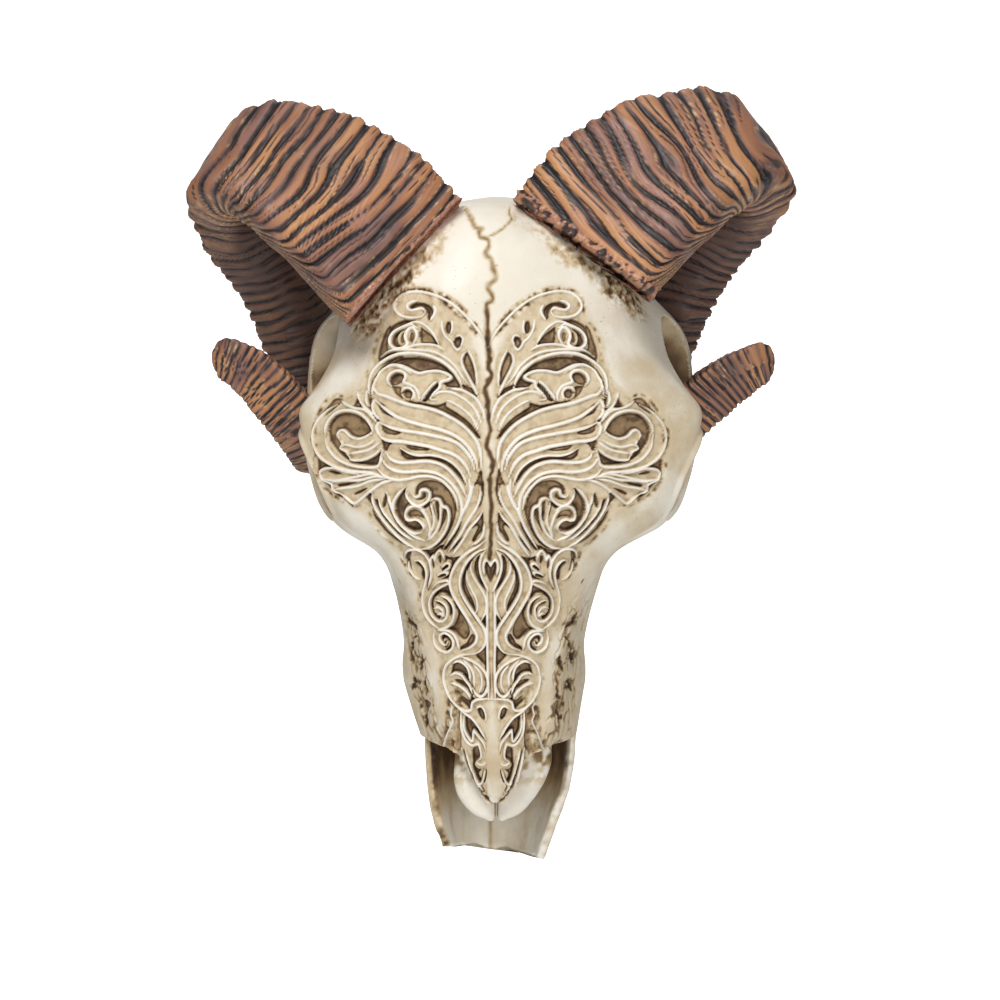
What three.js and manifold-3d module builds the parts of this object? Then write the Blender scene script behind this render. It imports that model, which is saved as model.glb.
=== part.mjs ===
// A wall-hung ram's skull, cast in resin: the braincase, orbits and snout, the nose tip, both premaxillae,
// a lower jaw in two halves, a pair of curled horns and the steel hanger on the back.
// Millimetres. +Z is up, +X is the viewer's right, -Y faces the viewer, and the wall is the plane Y = 0.
// The origin is the middle of the hanger's back face.
import * as THREE from "three";
import { LoftGeometry } from "three/addons/geometries/LoftGeometry.js";
import { mergeVertices } from "three/addons/utils/BufferGeometryUtils.js";
import Module from "manifold-3d";

const wasm = await Module();
wasm.setup();

// ---- driving dimensions -------------------------------------------------------------------------------

const GAP = 0.35; // left between pieces that meet
const FAR = 400; // beyond the part in every direction
const FINEST = 0.06; // details smaller than this, left by the cuts, are closed up
const WALL_GAP = 2; // from the casting's flat back to the wall, filled by the hanger plate

const CROWN_TOP = 68; // top of the braincase
const ORBIT_CUT = -41; // the thin cut through the postorbital bar
const SNOUT_CUT = -102; // the thin cut below the orbits
const SNOUT_END = -205; // where the two maxillae end
const ROW_STEP = 9.2; // spacing of the skull's sections
const LEAN = 4.8; // how far the casting's jaw and hollows lie to the right of the face's midline
const NOSE_LEAN = 2.4; // the same for the nose tip and the premaxillae
const SPAN_POINTS = 2; // points between two named corners of a section

// Egg-shaped hollows in each side: the temporal one behind the brow, and the eye socket.
const HOLLOWS = [
  { at: [98, -77, -6], radii: [24, 12, 26], tip: 24 },
  { at: [92, -79.5, -71], radii: [26, 14, 21.5], tip: 8 },
];
const HOLLOW_SIDES = 12;

// The skull's widths (half) and depths at heights above the hanger, as [height, size].
const FRONT_DEPTH = [[68, -62], [60, -88], [50, -104], [35, -114], [10, -121], [-40, -125], [-80, -121],
  [-110, -112], [-150, -99], [-205, -84]];
// How far the skull's sides lie to the right of the middle of the face.
const SIDE_LEAN = [[68, 4.8], [-105, 4.8], [-131, 2.5], [-163, 1.8], [-200, 4.2], [-260, 4.2]];
const BROW_HALF_WIDTH = [[68, 12], [58, 38], [40, 54], [15, 60], [-8, 68], [-24, 83], [-37, 95], [-46, 95],
  [-62, 88], [-92, 73], [-106, 55], [-130, 41], [-160, 33], [-205, 30]];
const BROW_DEPTH = [[68, -58], [50, -86], [20, -97], [-10, -97], [-37, -92], [-60, -95], [-92, -95],
  [-120, -91], [-160, -84], [-205, -75]];
const CHEEK_HALF_WIDTH = [[68, 14], [56, 44], [36, 60], [18, 74], [2, 88], [-18, 93], [-40, 94], [-62, 93],
  [-82, 86.5], [-95, 74], [-108, 56], [-125, 49.5], [-150, 45.5], [-163, 44.8], [-172, 44], [-205, 36]];
const CHEEK_DEPTH = [[68, -52], [40, -60], [0, -62], [-40, -63], [-90, -63], [-115, -58], [-150, -53],
  [-205, -52]];
const FLANK_HALF_WIDTH = [[68, 12], [50, 44], [20, 58], [-10, 60], [-40, 54], [-85, 52], [-108, 44],
  [-150, 34], [-205, 28]];
const FLANK_DEPTH = [[68, -44], [40, -40], [-90, -42], [-108, -47], [-205, -46]];
const BACK_HALF_WIDTH = [[68, 10], [45, 38], [10, 50], [-60, 48], [-92, 44], [-108, 26], [-205, 18]];
const BACK_DEPTH = [[68, -40], [50, 0], [20, 0], [-70, 0], [-86, -8], [-100, -40],
  [-112, -44.5], [-205, -45]];

const NOSE = { top: -186, tip: -229, halfWidth: 18.5, proud: 2.5, thick: 11 };
const PREMAXILLA = {
  top: -176, tip: -236.5, halfWidth: 23.5, roundedOver: 30, cleft: 0.9,
  frontDepth: -77, tipDepth: -65, thick: 13,
};

const JAW = { top: SNOUT_CUT - 5, tip: -257, wall: 4.6, back: -3 };
const JAW_HALF_WIDTH = [[-107, 44], [-150, 39], [-200, 37], [-225, 35], [-242, 31.5], [-257, 24]];
const JAW_EDGE_DEPTH = [[-107, -52], [-190, -52], [-212, -50], [-235, -51], [-257, -43]];
const JAW_STEP = 12;

// The right horn's centre line as [x, y, z], its half thickness and half width, and the way that its broad
// face looks: from inside the forehead outward and up, back, down behind the braincase and forward again to
// the blunt tip.
const HORN = [
  { at: [30, -94, 18], thick: 26, wide: 34, facing: [-0.1, -0.87, 0.5] },
  { at: [43, -97, 28], thick: 27, wide: 37, facing: [-0.05, -0.87, 0.5] },
  { at: [63, -99, 49], thick: 27, wide: 37, facing: [0, -0.85, 0.5] },
  { at: [84, -96, 65.5], thick: 27, wide: 34, facing: [0.2, -0.78, 0.6] },
  { at: [105, -87, 76], thick: 25.5, wide: 28.5, facing: [0.4, -0.62, 0.68] },
  { at: [118.5, -75, 76], thick: 23, wide: 23.5, facing: [0.6, -0.4, 0.7] },
  { at: [117.5, -56, 62], thick: 20.5, wide: 20.5, facing: [0.85, 0, 0.5] },
  { at: [103, -40, 41], thick: 19.5, wide: 20.5, facing: [0.9, 0.35, 0.2] },
  { at: [91, -32, 16], thick: 18.5, wide: 20, facing: [0.87, 0.5, 0] },
  { at: [82.5, -26, -10], thick: 17.2, wide: 19, facing: [0.8, 0.6, -0.15] },
  { at: [77, -27, -35], thick: 15.6, wide: 17, facing: [0.6, 0.6, -0.5] },
  { at: [74, -38, -55], thick: 14.5, wide: 15.5, facing: [0.3, 0.3, -0.9] },
  { at: [78, -54, -55], thick: 13.5, wide: 14.5, facing: [0.2, -0.4, -0.9] },
  { at: [89, -63, -43], thick: 13, wide: 14, facing: [0.2, -0.75, -0.6] },
  { at: [101, -66, -31], thick: 12.5, wide: 13.5, facing: [0.3, -0.85, -0.4] },
  { at: [113, -68, -20.5], thick: 11.5, wide: 12.3, facing: [0.3, -0.9, -0.3] },
  { at: [125, -69, -14], thick: 10, wide: 10.7, facing: [0.3, -0.9, -0.3] },
  { at: [134.5, -68, -11.5], thick: 7.5, wide: 8, facing: [0.3, -0.9, -0.3] },
];
const HORN_LEAN = { by: -4.8, from: -75, to: -30 }; // both horns go to the left as they go back
const HORN_ROLL = 0.02; // rise of both horns to the right, as a share of the way across
const HORN_SIDES = 12;
const HORN_ROWS = 28;
// the section's faces as [bearing, distance]: the broad face, the underside and the three behind them
const HORN_FACES = [[0, 0.86], [90, 1.08], [140, 0.8], [180, 0.86], [-112, 0.78]];
const HORN_EDGE = 7; // the higher, the sharper the edges between those faces
// Each horn starts at a slanted plane: a point of it as [x, z], and the way it faces, in degrees above level.
const HORN_ROOTS = { left: { at: [-13.4, 62.9], faces: 42 }, right: { at: [11.3, 61.4], faces: 52.8 } };
const HORN_CUTS = { bend: 0.22, curl: 0.45, tip: 0.72 }; // along the horn, as shares of its length

const HANGER = { width: 44, height: 42, thick: WALL_GAP - GAP, corner: 5, screwAt: 16, screw: 4.2 };
const KEYHOLE = { head: 9, headAt: 9, slot: 4.4, slotTop: 15.5 };
const POCKET = { halfWidth: 7, depth: 7, bottom: 3, top: 19 }; // room for the wall screw's head

const material = (name, color, roughness, metalness) =>
  new THREE.MeshStandardMaterial({ name, color, roughness, metalness });
const BONE = material("bone", 0xd9cdb2, 0.55, 0);
const KERATIN = material("horn", 0x7a4a30, 0.5, 0);
const STEEL = material("steel", 0x9a9a98, 0.4, 1);

// ---- small tools --------------------------------------------------------------------------------------

const mix = (a, b, t) => a + (b - a) * t;
const smooth = (t) => {
  const s = Math.min(Math.max(t, 0), 1);
  return s * s * (3 - 2 * s);
};

// A smooth curve through [height, size] pairs that fall in height: cubic pieces, each slope taken from
// the neighbours on both sides.
function profile(keys, z) {
  const last = keys.length - 1;
  const slope = (i) => {
    const [a, b] = [keys[Math.max(i - 1, 0)], keys[Math.min(i + 1, last)]];
    return (b[1] - a[1]) / (b[0] - a[0]);
  };
  const level = Math.min(Math.max(z, keys[last][0]), keys[0][0]);
  let i = 0;
  while (i < last - 1 && level < keys[i + 1][0]) i++;
  const [[z0, v0], [z1, v1]] = [keys[i], keys[i + 1]];
  const [span, t] = [z1 - z0, (level - z0) / (z1 - z0)];
  const [t2, t3] = [t * t, t * t * t];
  return (2 * t3 - 3 * t2 + 1) * v0 + (t3 - 2 * t2 + t) * span * slope(i)
    + (3 * t2 - 2 * t3) * v1 + (t3 - t2) * span * slope(i + 1);
}

// Heights from low to high, evenly spaced and at most `step` apart.
function levels(low, high, step) {
  const count = Math.ceil((high - low) / step);
  return Array.from({ length: count + 1 }, (_, i) => mix(low, high, i / count));
}

// A three.js geometry as a closed solid: only its points are kept, equal ones are merged and faces that
// have no area left are dropped.
function solid(geometry) {
  const bare = new THREE.BufferGeometry();
  bare.setAttribute("position", geometry.getAttribute("position"));
  if (geometry.index) bare.setIndex(geometry.index);
  const merged = mergeVertices(bare, 1e-4);
  const kept = [];
  const index = merged.index.array;
  for (let i = 0; i < index.length; i += 3) {
    const [a, b, c] = [index[i], index[i + 1], index[i + 2]];
    if (a !== b && b !== c && a !== c) kept.push(a, b, c);
  }
  const triVerts = new Uint32Array(kept);
  return new wasm.Manifold(new wasm.Mesh({
    numProp: 3, vertProperties: merged.attributes.position.array, triVerts,
  }));
}

// A solid skinned over sections. Both ends are closed flat: each point of the end section runs straight
// to the middle between itself and its partner, the point as far from the first one the other way round.
function loft(sections, partner = (i, count) => (count - i) % count) {
  const closing = (section) => section.map((point, i) =>
    point.clone().lerp(section[partner(i, section.length)], 0.5));
  return solid(new LoftGeometry([closing(sections[0]), ...sections, closing(sections.at(-1))]));
}

function box(low, high) {
  const size = high.map((h, i) => h - low[i]);
  const middle = high.map((h, i) => (h + low[i]) / 2);
  return solid(new THREE.BoxGeometry(...size).translate(...middle));
}

// A solid with room around it: copies of it moved a gap each way along each axis, all joined.
function padded(made) {
  const ways = [[1, 0, 0], [-1, 0, 0], [0, 1, 0], [0, -1, 0], [0, 0, 1], [0, 0, -1]];
  return ways.reduce((sum, way) => sum.add(made.translate(way.map((w) => w * GAP))), made);
}

// The largest of the bodies that a cut leaves.
const largest = (made) => made.decompose().sort((a, b) => b.volume() - a.volume())[0];

// A solid as a named mesh of the part.
function mesh(name, made, look) {
  const { numProp, numVert, vertProperties, triVerts } = made.simplify(FINEST).getMesh();
  const positions = new Float32Array(numVert * 3);
  for (let i = 0; i < numVert; i++) {
    positions.set(vertProperties.subarray(i * numProp, i * numProp + 3), i * 3);
  }
  const geometry = new THREE.BufferGeometry();
  geometry.setAttribute("position", new THREE.BufferAttribute(positions, 3));
  geometry.setIndex(new THREE.BufferAttribute(triVerts, 1));
  geometry.computeVertexNormals();
  const named = new THREE.Mesh(geometry, look);
  named.name = name;
  return named;
}

// ---- the skull ----------------------------------------------------------------------------------------

// The named corners of half a section at a height, from the middle of the front round to the middle of
// the back: the front plate falls away to the brow edge, the side runs on to the cheek edge, and the
// flank goes in to the flat back.
function halfSection(z) {
  const [front, back] = [profile(FRONT_DEPTH, z), profile(BACK_DEPTH, z)];
  const brow = [profile(BROW_HALF_WIDTH, z), profile(BROW_DEPTH, z)];
  const cheek = [profile(CHEEK_HALF_WIDTH, z), profile(CHEEK_DEPTH, z)];
  const flank = [profile(FLANK_HALF_WIDTH, z), profile(FLANK_DEPTH, z)];
  const backEdge = [profile(BACK_HALF_WIDTH, z), Math.min(back, flank[1] + 34)];
  const drop = brow[1] - front;
  return [
    [0, front],
    [0.38 * brow[0], front + 0.1 * drop],
    [0.74 * brow[0], front + 0.46 * drop],
    brow,
    [mix(brow[0], cheek[0], 0.5), mix(brow[1], cheek[1], 0.5)],
    cheek,
    [cheek[0] - 4, Math.min(cheek[1] + 10, flank[1] - 3)],
    flank,
    backEdge,
    [0, back],
  ];
}

function skullSection(z) {
  const half = halfSection(z);
  const lean = profile(SIDE_LEAN, z);
  const right = half.map(([x, y], i) => [x + lean * Math.min(1, 0.36 * i), y]);
  const left = half.map(([x, y], i) => [-x + lean * Math.min(1, 0.36 * i), y]);
  const corners = [...right, ...left.slice(1, -1).reverse()].map(([x, y]) => new THREE.Vector3(x, y, z));
  const ring = new THREE.CatmullRomCurve3(corners, true, "catmullrom", 0.5);
  const count = corners.length * SPAN_POINTS;
  return Array.from({ length: count }, (_, i) => ring.getPoint(i / count));
}

// One of the hollows: an egg turned about the upright axis, so that it faces outward and forward.
function hollowSolid({ at, radii, tip }) {
  const egg = new THREE.SphereGeometry(1, HOLLOW_SIDES, HOLLOW_SIDES / 2).scale(...radii);
  return solid(egg.rotateZ(THREE.MathUtils.degToRad(-tip)).translate(...at));
}

// The whole skull above the nose tip, its back cut flat to hang against the wall.
function skullSolid() {
  const skinned = loft(levels(SNOUT_END, CROWN_TOP, ROW_STEP).map(skullSection));
  const flat = skinned.intersect(box([-FAR, -FAR, -FAR], [FAR, -WALL_GAP, FAR]));
  const eggs = HOLLOWS.map(hollowSolid);
  const both = [...eggs, ...eggs.map((egg) => egg.mirror([1, 0, 0]))];
  return both.reduce((rest, egg) => rest.subtract(egg.translate([LEAN, 0, 0])), flat);
}

// The nose tip: a V-shaped plate that runs out over the premaxillae to a rounded point.
function noseSolid() {
  const sections = levels(NOSE.tip, NOSE.top, 3.6).map((z) => {
    const share = (z - NOSE.tip) / (NOSE.top - NOSE.tip);
    const halfWidth = Math.max(NOSE.halfWidth * Math.min(1, 1.75 * share) ** 0.72, 0.8);
    const below = Math.max(0, SNOUT_END - z);
    const front = profile(FRONT_DEPTH, Math.max(z, SNOUT_END)) + 0.36 * below - NOSE.proud;
    const back = front + NOSE.thick * mix(0.45, 1, share);
    const ridge = [[-1, 0.42], [-0.62, 0.12], [0, 0], [0.62, 0.12], [1, 0.42]];
    const face = ridge.map(([s, d]) => new THREE.Vector3(s * halfWidth + NOSE_LEAN, front + d * 6, z));
    const under = [0.85, 0.5, 0, -0.5, -0.85].map((s) =>
      new THREE.Vector3(s * halfWidth + NOSE_LEAN, back, z));
    return [...face, ...under];
  });
  return loft(sections, (i, count) => count - 1 - i);
}

// One premaxilla: a flattened prong with a rounded end, beside the cleft.
function premaxillaSolid(side) {
  const sections = levels(PREMAXILLA.tip, PREMAXILLA.top, 4).map((z) => {
    const share = (z - PREMAXILLA.tip) / (PREMAXILLA.top - PREMAXILLA.tip);
    const fromTip = Math.min(1, Math.max(0.03, (z - PREMAXILLA.tip) / PREMAXILLA.roundedOver));
    const outer = PREMAXILLA.halfWidth * Math.sqrt(1 - (1 - fromTip) ** 2);
    const inner = PREMAXILLA.cleft;
    const front = mix(PREMAXILLA.tipDepth, PREMAXILLA.frontDepth, share);
    const thick = PREMAXILLA.thick * mix(0.7, 1, share);
    const [middle, half] = [(outer + inner) / 2, (outer - inner) / 2];
    return Array.from({ length: 12 }, (_, i) => {
      const angle = (i / 12) * 2 * Math.PI * side;
      const [c, s] = [Math.cos(angle), Math.sin(angle)];
      const x = middle + half * Math.sign(c) * Math.abs(c) ** 0.75;
      const y = front + thick / 2 + (thick / 2) * Math.sign(s) * Math.abs(s) ** 0.75;
      return new THREE.Vector3(side * x + NOSE_LEAN, y, z);
    });
  });
  return loft(sections);
}

// ---- the lower jaw ------------------------------------------------------------------------------------

// The jaw is a trough that opens towards the palate: its section goes along the inside from the left edge
// to the right one, and back round the outside.
function jawSolid() {
  const sections = levels(JAW.tip, JAW.top, JAW_STEP).map((z) => {
    const [halfWidth, edge] = [profile(JAW_HALF_WIDTH, z), profile(JAW_EDGE_DEPTH, z)];
    const bow = (width, floor, power) => [-1, -0.9, -0.66, -0.34, 0, 0.34, 0.66, 0.9, 1].map((s) =>
      new THREE.Vector3(s * width + LEAN, mix(floor, edge, Math.abs(s) ** power), z));
    const inside = bow(halfWidth - JAW.wall, JAW.back - JAW.wall - 4, 3.2);
    const outside = bow(halfWidth, JAW.back, 4.2).reverse();
    return [...outside, ...inside];
  });
  return loft(sections, (i, count) => count - 1 - i);
}

// ---- a horn -------------------------------------------------------------------------------------------

const smoothThrough = (points) => new THREE.CatmullRomCurve3(
  points.map((point) => new THREE.Vector3(...point)), false, "catmullrom", 0.5);
const hornCurve = smoothThrough(HORN.map(({ at }) => at));
const hornFacing = smoothThrough(HORN.map(({ facing }) => facing));

// The horn's outline at a bearing from its broad face: a polygon of HORN_FACES with rounded edges.
function hornRadius(bearing) {
  const reach = HORN_FACES.reduce((sum, [facing, distance]) => {
    const towards = Math.max(Math.cos(bearing - THREE.MathUtils.degToRad(facing)), 0);
    return sum + (towards / distance) ** HORN_EDGE;
  }, 0);
  return reach ** (-1 / HORN_EDGE);
}

// The horn's section at a share of its length. The left horn's is the right one's mirrored; then both lean.
function hornSection(share, side) {
  const place = share * (HORN.length - 1);
  const i = Math.min(Math.floor(place), HORN.length - 2);
  const t = smooth(place - i);
  const thick = mix(HORN[i].thick, HORN[i + 1].thick, t);
  const wide = mix(HORN[i].wide, HORN[i + 1].wide, t);
  const centre = hornCurve.getPoint(share);
  const ahead = hornCurve.getTangent(share);
  const out = hornFacing.getPoint(share);
  out.addScaledVector(ahead, -out.dot(ahead)).normalize();
  const across = new THREE.Vector3().crossVectors(ahead, out);
  return Array.from({ length: HORN_SIDES }, (_, k) => {
    const bearing = (k / HORN_SIDES) * 2 * Math.PI * side;
    const radius = hornRadius(bearing);
    const point = centre.clone()
      .addScaledVector(out, thick * radius * Math.cos(bearing))
      .addScaledVector(across, wide * radius * Math.sin(bearing));
    const back = smooth((point.y - HORN_LEAN.from) / (HORN_LEAN.to - HORN_LEAN.from));
    const x = point.x * side + HORN_LEAN.by * back;
    return new THREE.Vector3(x, point.y, point.z + HORN_ROLL * x);
  });
}

// The space beyond a horn's root, where the horn is.
function beyondRoot(hand, side) {
  const { at: [x, z], faces } = HORN_ROOTS[hand];
  const space = new THREE.BoxGeometry(FAR, 2 * FAR, 2 * FAR).translate(FAR / 2, 0, 0);
  space.rotateY(THREE.MathUtils.degToRad(side > 0 ? -faces : faces - 180));
  return solid(space.translate(x, 0, z));
}

// A length of a horn between two shares of it, its ends flat and half a gap short.
function hornLength(from, to, hand, side) {
  const short = GAP / 2 / hornCurve.getLength();
  const [start, end] = [from + (from > 0 ? short : 0), to - (to < 1 ? short : 0)];
  const rows = Math.max(3, Math.round(HORN_ROWS * (to - from)));
  const made = loft(Array.from({ length: rows + 1 }, (_, i) => hornSection(mix(start, end, i / rows), side)));
  return from > 0 ? made : made.intersect(beyondRoot(hand, side));
}

// ---- the hanger ---------------------------------------------------------------------------------------

// A steel plate with a keyhole: a round hole for a screw's head below a narrow slot that it slides into.
function hangerPlate() {
  const [w, h, r] = [HANGER.width / 2, HANGER.height / 2, HANGER.corner];
  const outline = new THREE.Shape();
  outline.moveTo(-w + r, -h);
  outline.lineTo(w - r, -h);
  outline.absarc(w - r, -h + r, r, -Math.PI / 2, 0);
  outline.absarc(w - r, h - r, r, 0, Math.PI / 2);
  outline.absarc(-w + r, h - r, r, Math.PI / 2, Math.PI);
  outline.absarc(-w + r, -h + r, r, Math.PI, 1.5 * Math.PI);
  const keyhole = new THREE.Path();
  const meet = Math.asin(KEYHOLE.slot / KEYHOLE.head);
  keyhole.absarc(0, KEYHOLE.slotTop, KEYHOLE.slot / 2, 0, Math.PI);
  keyhole.absarc(0, KEYHOLE.headAt, KEYHOLE.head / 2, Math.PI / 2 + meet, 2.5 * Math.PI - meet);
  outline.holes.push(keyhole);
  for (const side of [-1, 1]) {
    outline.holes.push(new THREE.Path().absarc(side * HANGER.screwAt, 0, HANGER.screw / 2, 0, 2 * Math.PI));
  }
  const plate = { depth: HANGER.thick, bevelEnabled: false, curveSegments: 8 };
  return solid(new THREE.ExtrudeGeometry(outline, plate).rotateX(Math.PI / 2)); // from the wall forward
}

// ---- the whole ----------------------------------------------------------------------------------------

const slab = (high, low) => box([-FAR, -FAR, low], [FAR, FAR, high]);
const rightOf = (x) => box([x, -FAR, -FAR], [FAR, FAR, FAR]);
const leftOf = (x) => box([-FAR, -FAR, -FAR], [x, FAR, FAR]);

const ram = new THREE.Group();
ram.name = "ram_skull";

const skull = skullSolid();
const nose = noseSolid();
const prongs = [-1, 1].map(premaxillaSolid);
const aroundSkull = padded(skull);
const aroundNose = padded(nose);
const pocket = box(
  [-POCKET.halfWidth, -WALL_GAP - POCKET.depth, POCKET.bottom], [POCKET.halfWidth, 1, POCKET.top]);
ram.add(mesh("braincase", skull.intersect(slab(FAR, ORBIT_CUT + GAP / 2)).subtract(pocket), BONE));
ram.add(mesh("orbits", skull.intersect(slab(ORBIT_CUT - GAP / 2, SNOUT_CUT + GAP / 2)), BONE));
const aroundTip = prongs.reduce((sum, prong) => sum.add(padded(prong)), aroundNose);
ram.add(mesh("snout", largest(skull.intersect(slab(SNOUT_CUT - GAP / 2, -FAR)).subtract(aroundTip)), BONE));
ram.add(mesh("nose_tip", nose, BONE));

const jaw = jawSolid().subtract(aroundSkull).subtract(aroundTip);
const lengths = [["base", 0, HORN_CUTS.bend], ["bend", HORN_CUTS.bend, HORN_CUTS.curl],
  ["curl", HORN_CUTS.curl, HORN_CUTS.tip], ["tip", HORN_CUTS.tip, 1]];
for (const [k, side, hand] of [[0, -1, "left"], [1, 1, "right"]]) {
  ram.add(mesh(`premaxilla_${hand}`, largest(prongs[k].subtract(aroundNose)), BONE));
  ram.add(mesh(`jaw_${hand}`, largest(jaw.intersect(side > 0 ? rightOf(GAP / 2) : leftOf(-GAP / 2))), BONE));
  for (const [name, from, to] of lengths) {
    const length = hornLength(from, to, hand, side).subtract(aroundSkull);
    ram.add(mesh(`horn_${hand}_${name}`, largest(length), KERATIN));
  }
}

ram.add(mesh("hanger_plate", hangerPlate(), STEEL));

export default ram;
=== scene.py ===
import math
from itertools import product

import bpy
import numpy as np
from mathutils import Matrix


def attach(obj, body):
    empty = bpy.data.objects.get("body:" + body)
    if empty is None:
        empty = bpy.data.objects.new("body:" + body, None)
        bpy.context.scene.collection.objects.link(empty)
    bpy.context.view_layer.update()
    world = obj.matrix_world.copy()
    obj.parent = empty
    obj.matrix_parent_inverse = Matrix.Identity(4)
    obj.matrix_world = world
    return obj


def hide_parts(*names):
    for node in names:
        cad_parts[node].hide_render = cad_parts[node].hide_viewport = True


# A ram's skull cast in resin and hung on a wall: carved ivory bone, ridged horns and an open lower jaw.
# Lengths here are in millimetres, +Z up and -Y towards the viewer; meshes are made in metres.
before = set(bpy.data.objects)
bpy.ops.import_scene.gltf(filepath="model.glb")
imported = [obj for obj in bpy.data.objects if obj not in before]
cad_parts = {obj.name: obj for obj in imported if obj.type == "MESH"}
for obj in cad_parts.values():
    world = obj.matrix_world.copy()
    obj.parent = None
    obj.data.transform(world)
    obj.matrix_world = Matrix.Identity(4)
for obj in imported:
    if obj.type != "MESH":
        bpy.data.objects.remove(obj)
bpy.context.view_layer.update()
coarse = 1

latticeSize = 24
latticeNumbers = np.random.default_rng(11).random((latticeSize,) * 3).astype(np.float32)


def softNoise(points, size, seed=0):
    # random numbers on a cubic lattice, blended smoothly between its corners, from -1 to 1
    place = points / size + 7.31 * seed  # every seed reads another part of the lattice
    cell = np.floor(place).astype(np.int32)
    part = (place - cell).astype(np.float32)
    part = part * part * (3 - 2 * part)
    total = np.zeros(place.shape[:-1], np.float32)
    for corner in product((0, 1), repeat=3):
        share = np.prod([part[..., k] if corner[k] else 1 - part[..., k] for k in range(3)], axis=0)
        at = [(cell[..., k] + corner[k]) % latticeSize for k in range(3)]
        total += share * latticeNumbers[at[0], at[1], at[2]]
    return 2 * total - 1


def roughNoise(points, size, seed=0, layers=3):
    # the same noise in layers, each half as large and half as strong as the one before
    return sum(softNoise(points, size / 2 ** k, seed + k) / 2 ** k for k in range(layers))


def smoothStep(low, high, value):
    t = np.clip((value - low) / (high - low), 0, 1)
    return t * t * (3 - 2 * t)


def mixed(a, b, t):
    return a + (b - a) * t


def roundedEnd(fromTip, over, most):
    # 1 beyond the length over, falling to almost 0 at the tip along a quarter of a circle
    return np.sqrt(1 - np.clip(1 - fromTip / over, 0, most) ** 2)


def curveThrough(keys, height):
    # cubic pieces through [height, size] pairs, each slope taken from the neighbours on both sides
    h, v = np.array(sorted(keys), float).T
    before = np.maximum(np.arange(len(h)) - 1, 0)
    after = np.minimum(np.arange(len(h)) + 1, len(h) - 1)
    slope = (v[after] - v[before]) / (h[after] - h[before])
    z = np.clip(height, h[0], h[-1])
    i = np.clip(np.searchsorted(h, z) - 1, 0, len(h) - 2)
    span = h[i + 1] - h[i]
    t = (z - h[i]) / span
    return ((2 * t**3 - 3 * t**2 + 1) * v[i] + (t**3 - 2 * t**2 + t) * span * slope[i]
            + (3 * t**2 - 2 * t**3) * v[i + 1] + (t**3 - t**2) * span * slope[i + 1])


def blended(p0, p1, p2, p3, t):
    # the Catmull-Rom blend: a cubic from p1 to p2 whose ends lean along their neighbours
    return 0.5 * (2 * p1 + (p2 - p0) * t + (2 * p0 - 5 * p1 + 4 * p2 - p3) * t**2
                  + (3 * p1 - p0 - 3 * p2 + p3) * t**3)


def smoothLine(points, closed=False, parts=4):
    # more points on a smooth curve through the given ones
    p = np.asarray(points, float)
    if closed:
        p = np.concatenate([p[-1:], p, p[:2]])
    else:
        p = np.concatenate([2 * p[:1] - p[1:2], p, 2 * p[-1:] - p[-2:-1]])
    t = (np.arange(parts) / parts)[None, :, None]
    line = blended(p[:-3, None], p[1:-2, None], p[2:-1, None], p[3:, None], t).reshape(-1, p.shape[1])
    return np.concatenate([line, p[1:2] if closed else p[-2:-1]])


def blurred(field, radius):
    # a running mean along both ways of a grid, taken three times over
    for axis in (0, 1, 0, 1, 0, 1):
        padded = np.pad(field, [(radius + 1, radius) if k == axis else (0, 0) for k in (0, 1)], mode="edge")
        total = np.cumsum(padded, axis=axis, dtype=np.float64)
        ahead = np.take(total, range(2 * radius + 1, total.shape[axis]), axis=axis)
        behind = np.take(total, range(0, total.shape[axis] - 2 * radius - 1), axis=axis)
        field = (ahead - behind) / (2 * radius + 1)
    return field


def gridNormals(p, closed=True):
    # the cross product of the two directions of a grid of points; closed grids wrap along their columns
    along = np.gradient(p, axis=0)
    around = (np.roll(p, -1, 1) - np.roll(p, 1, 1)) / 2 if closed else np.gradient(p, axis=1)
    n = np.cross(around, along)
    return n / np.maximum(np.linalg.norm(n, axis=-1, keepdims=True), 1e-9)


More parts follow.
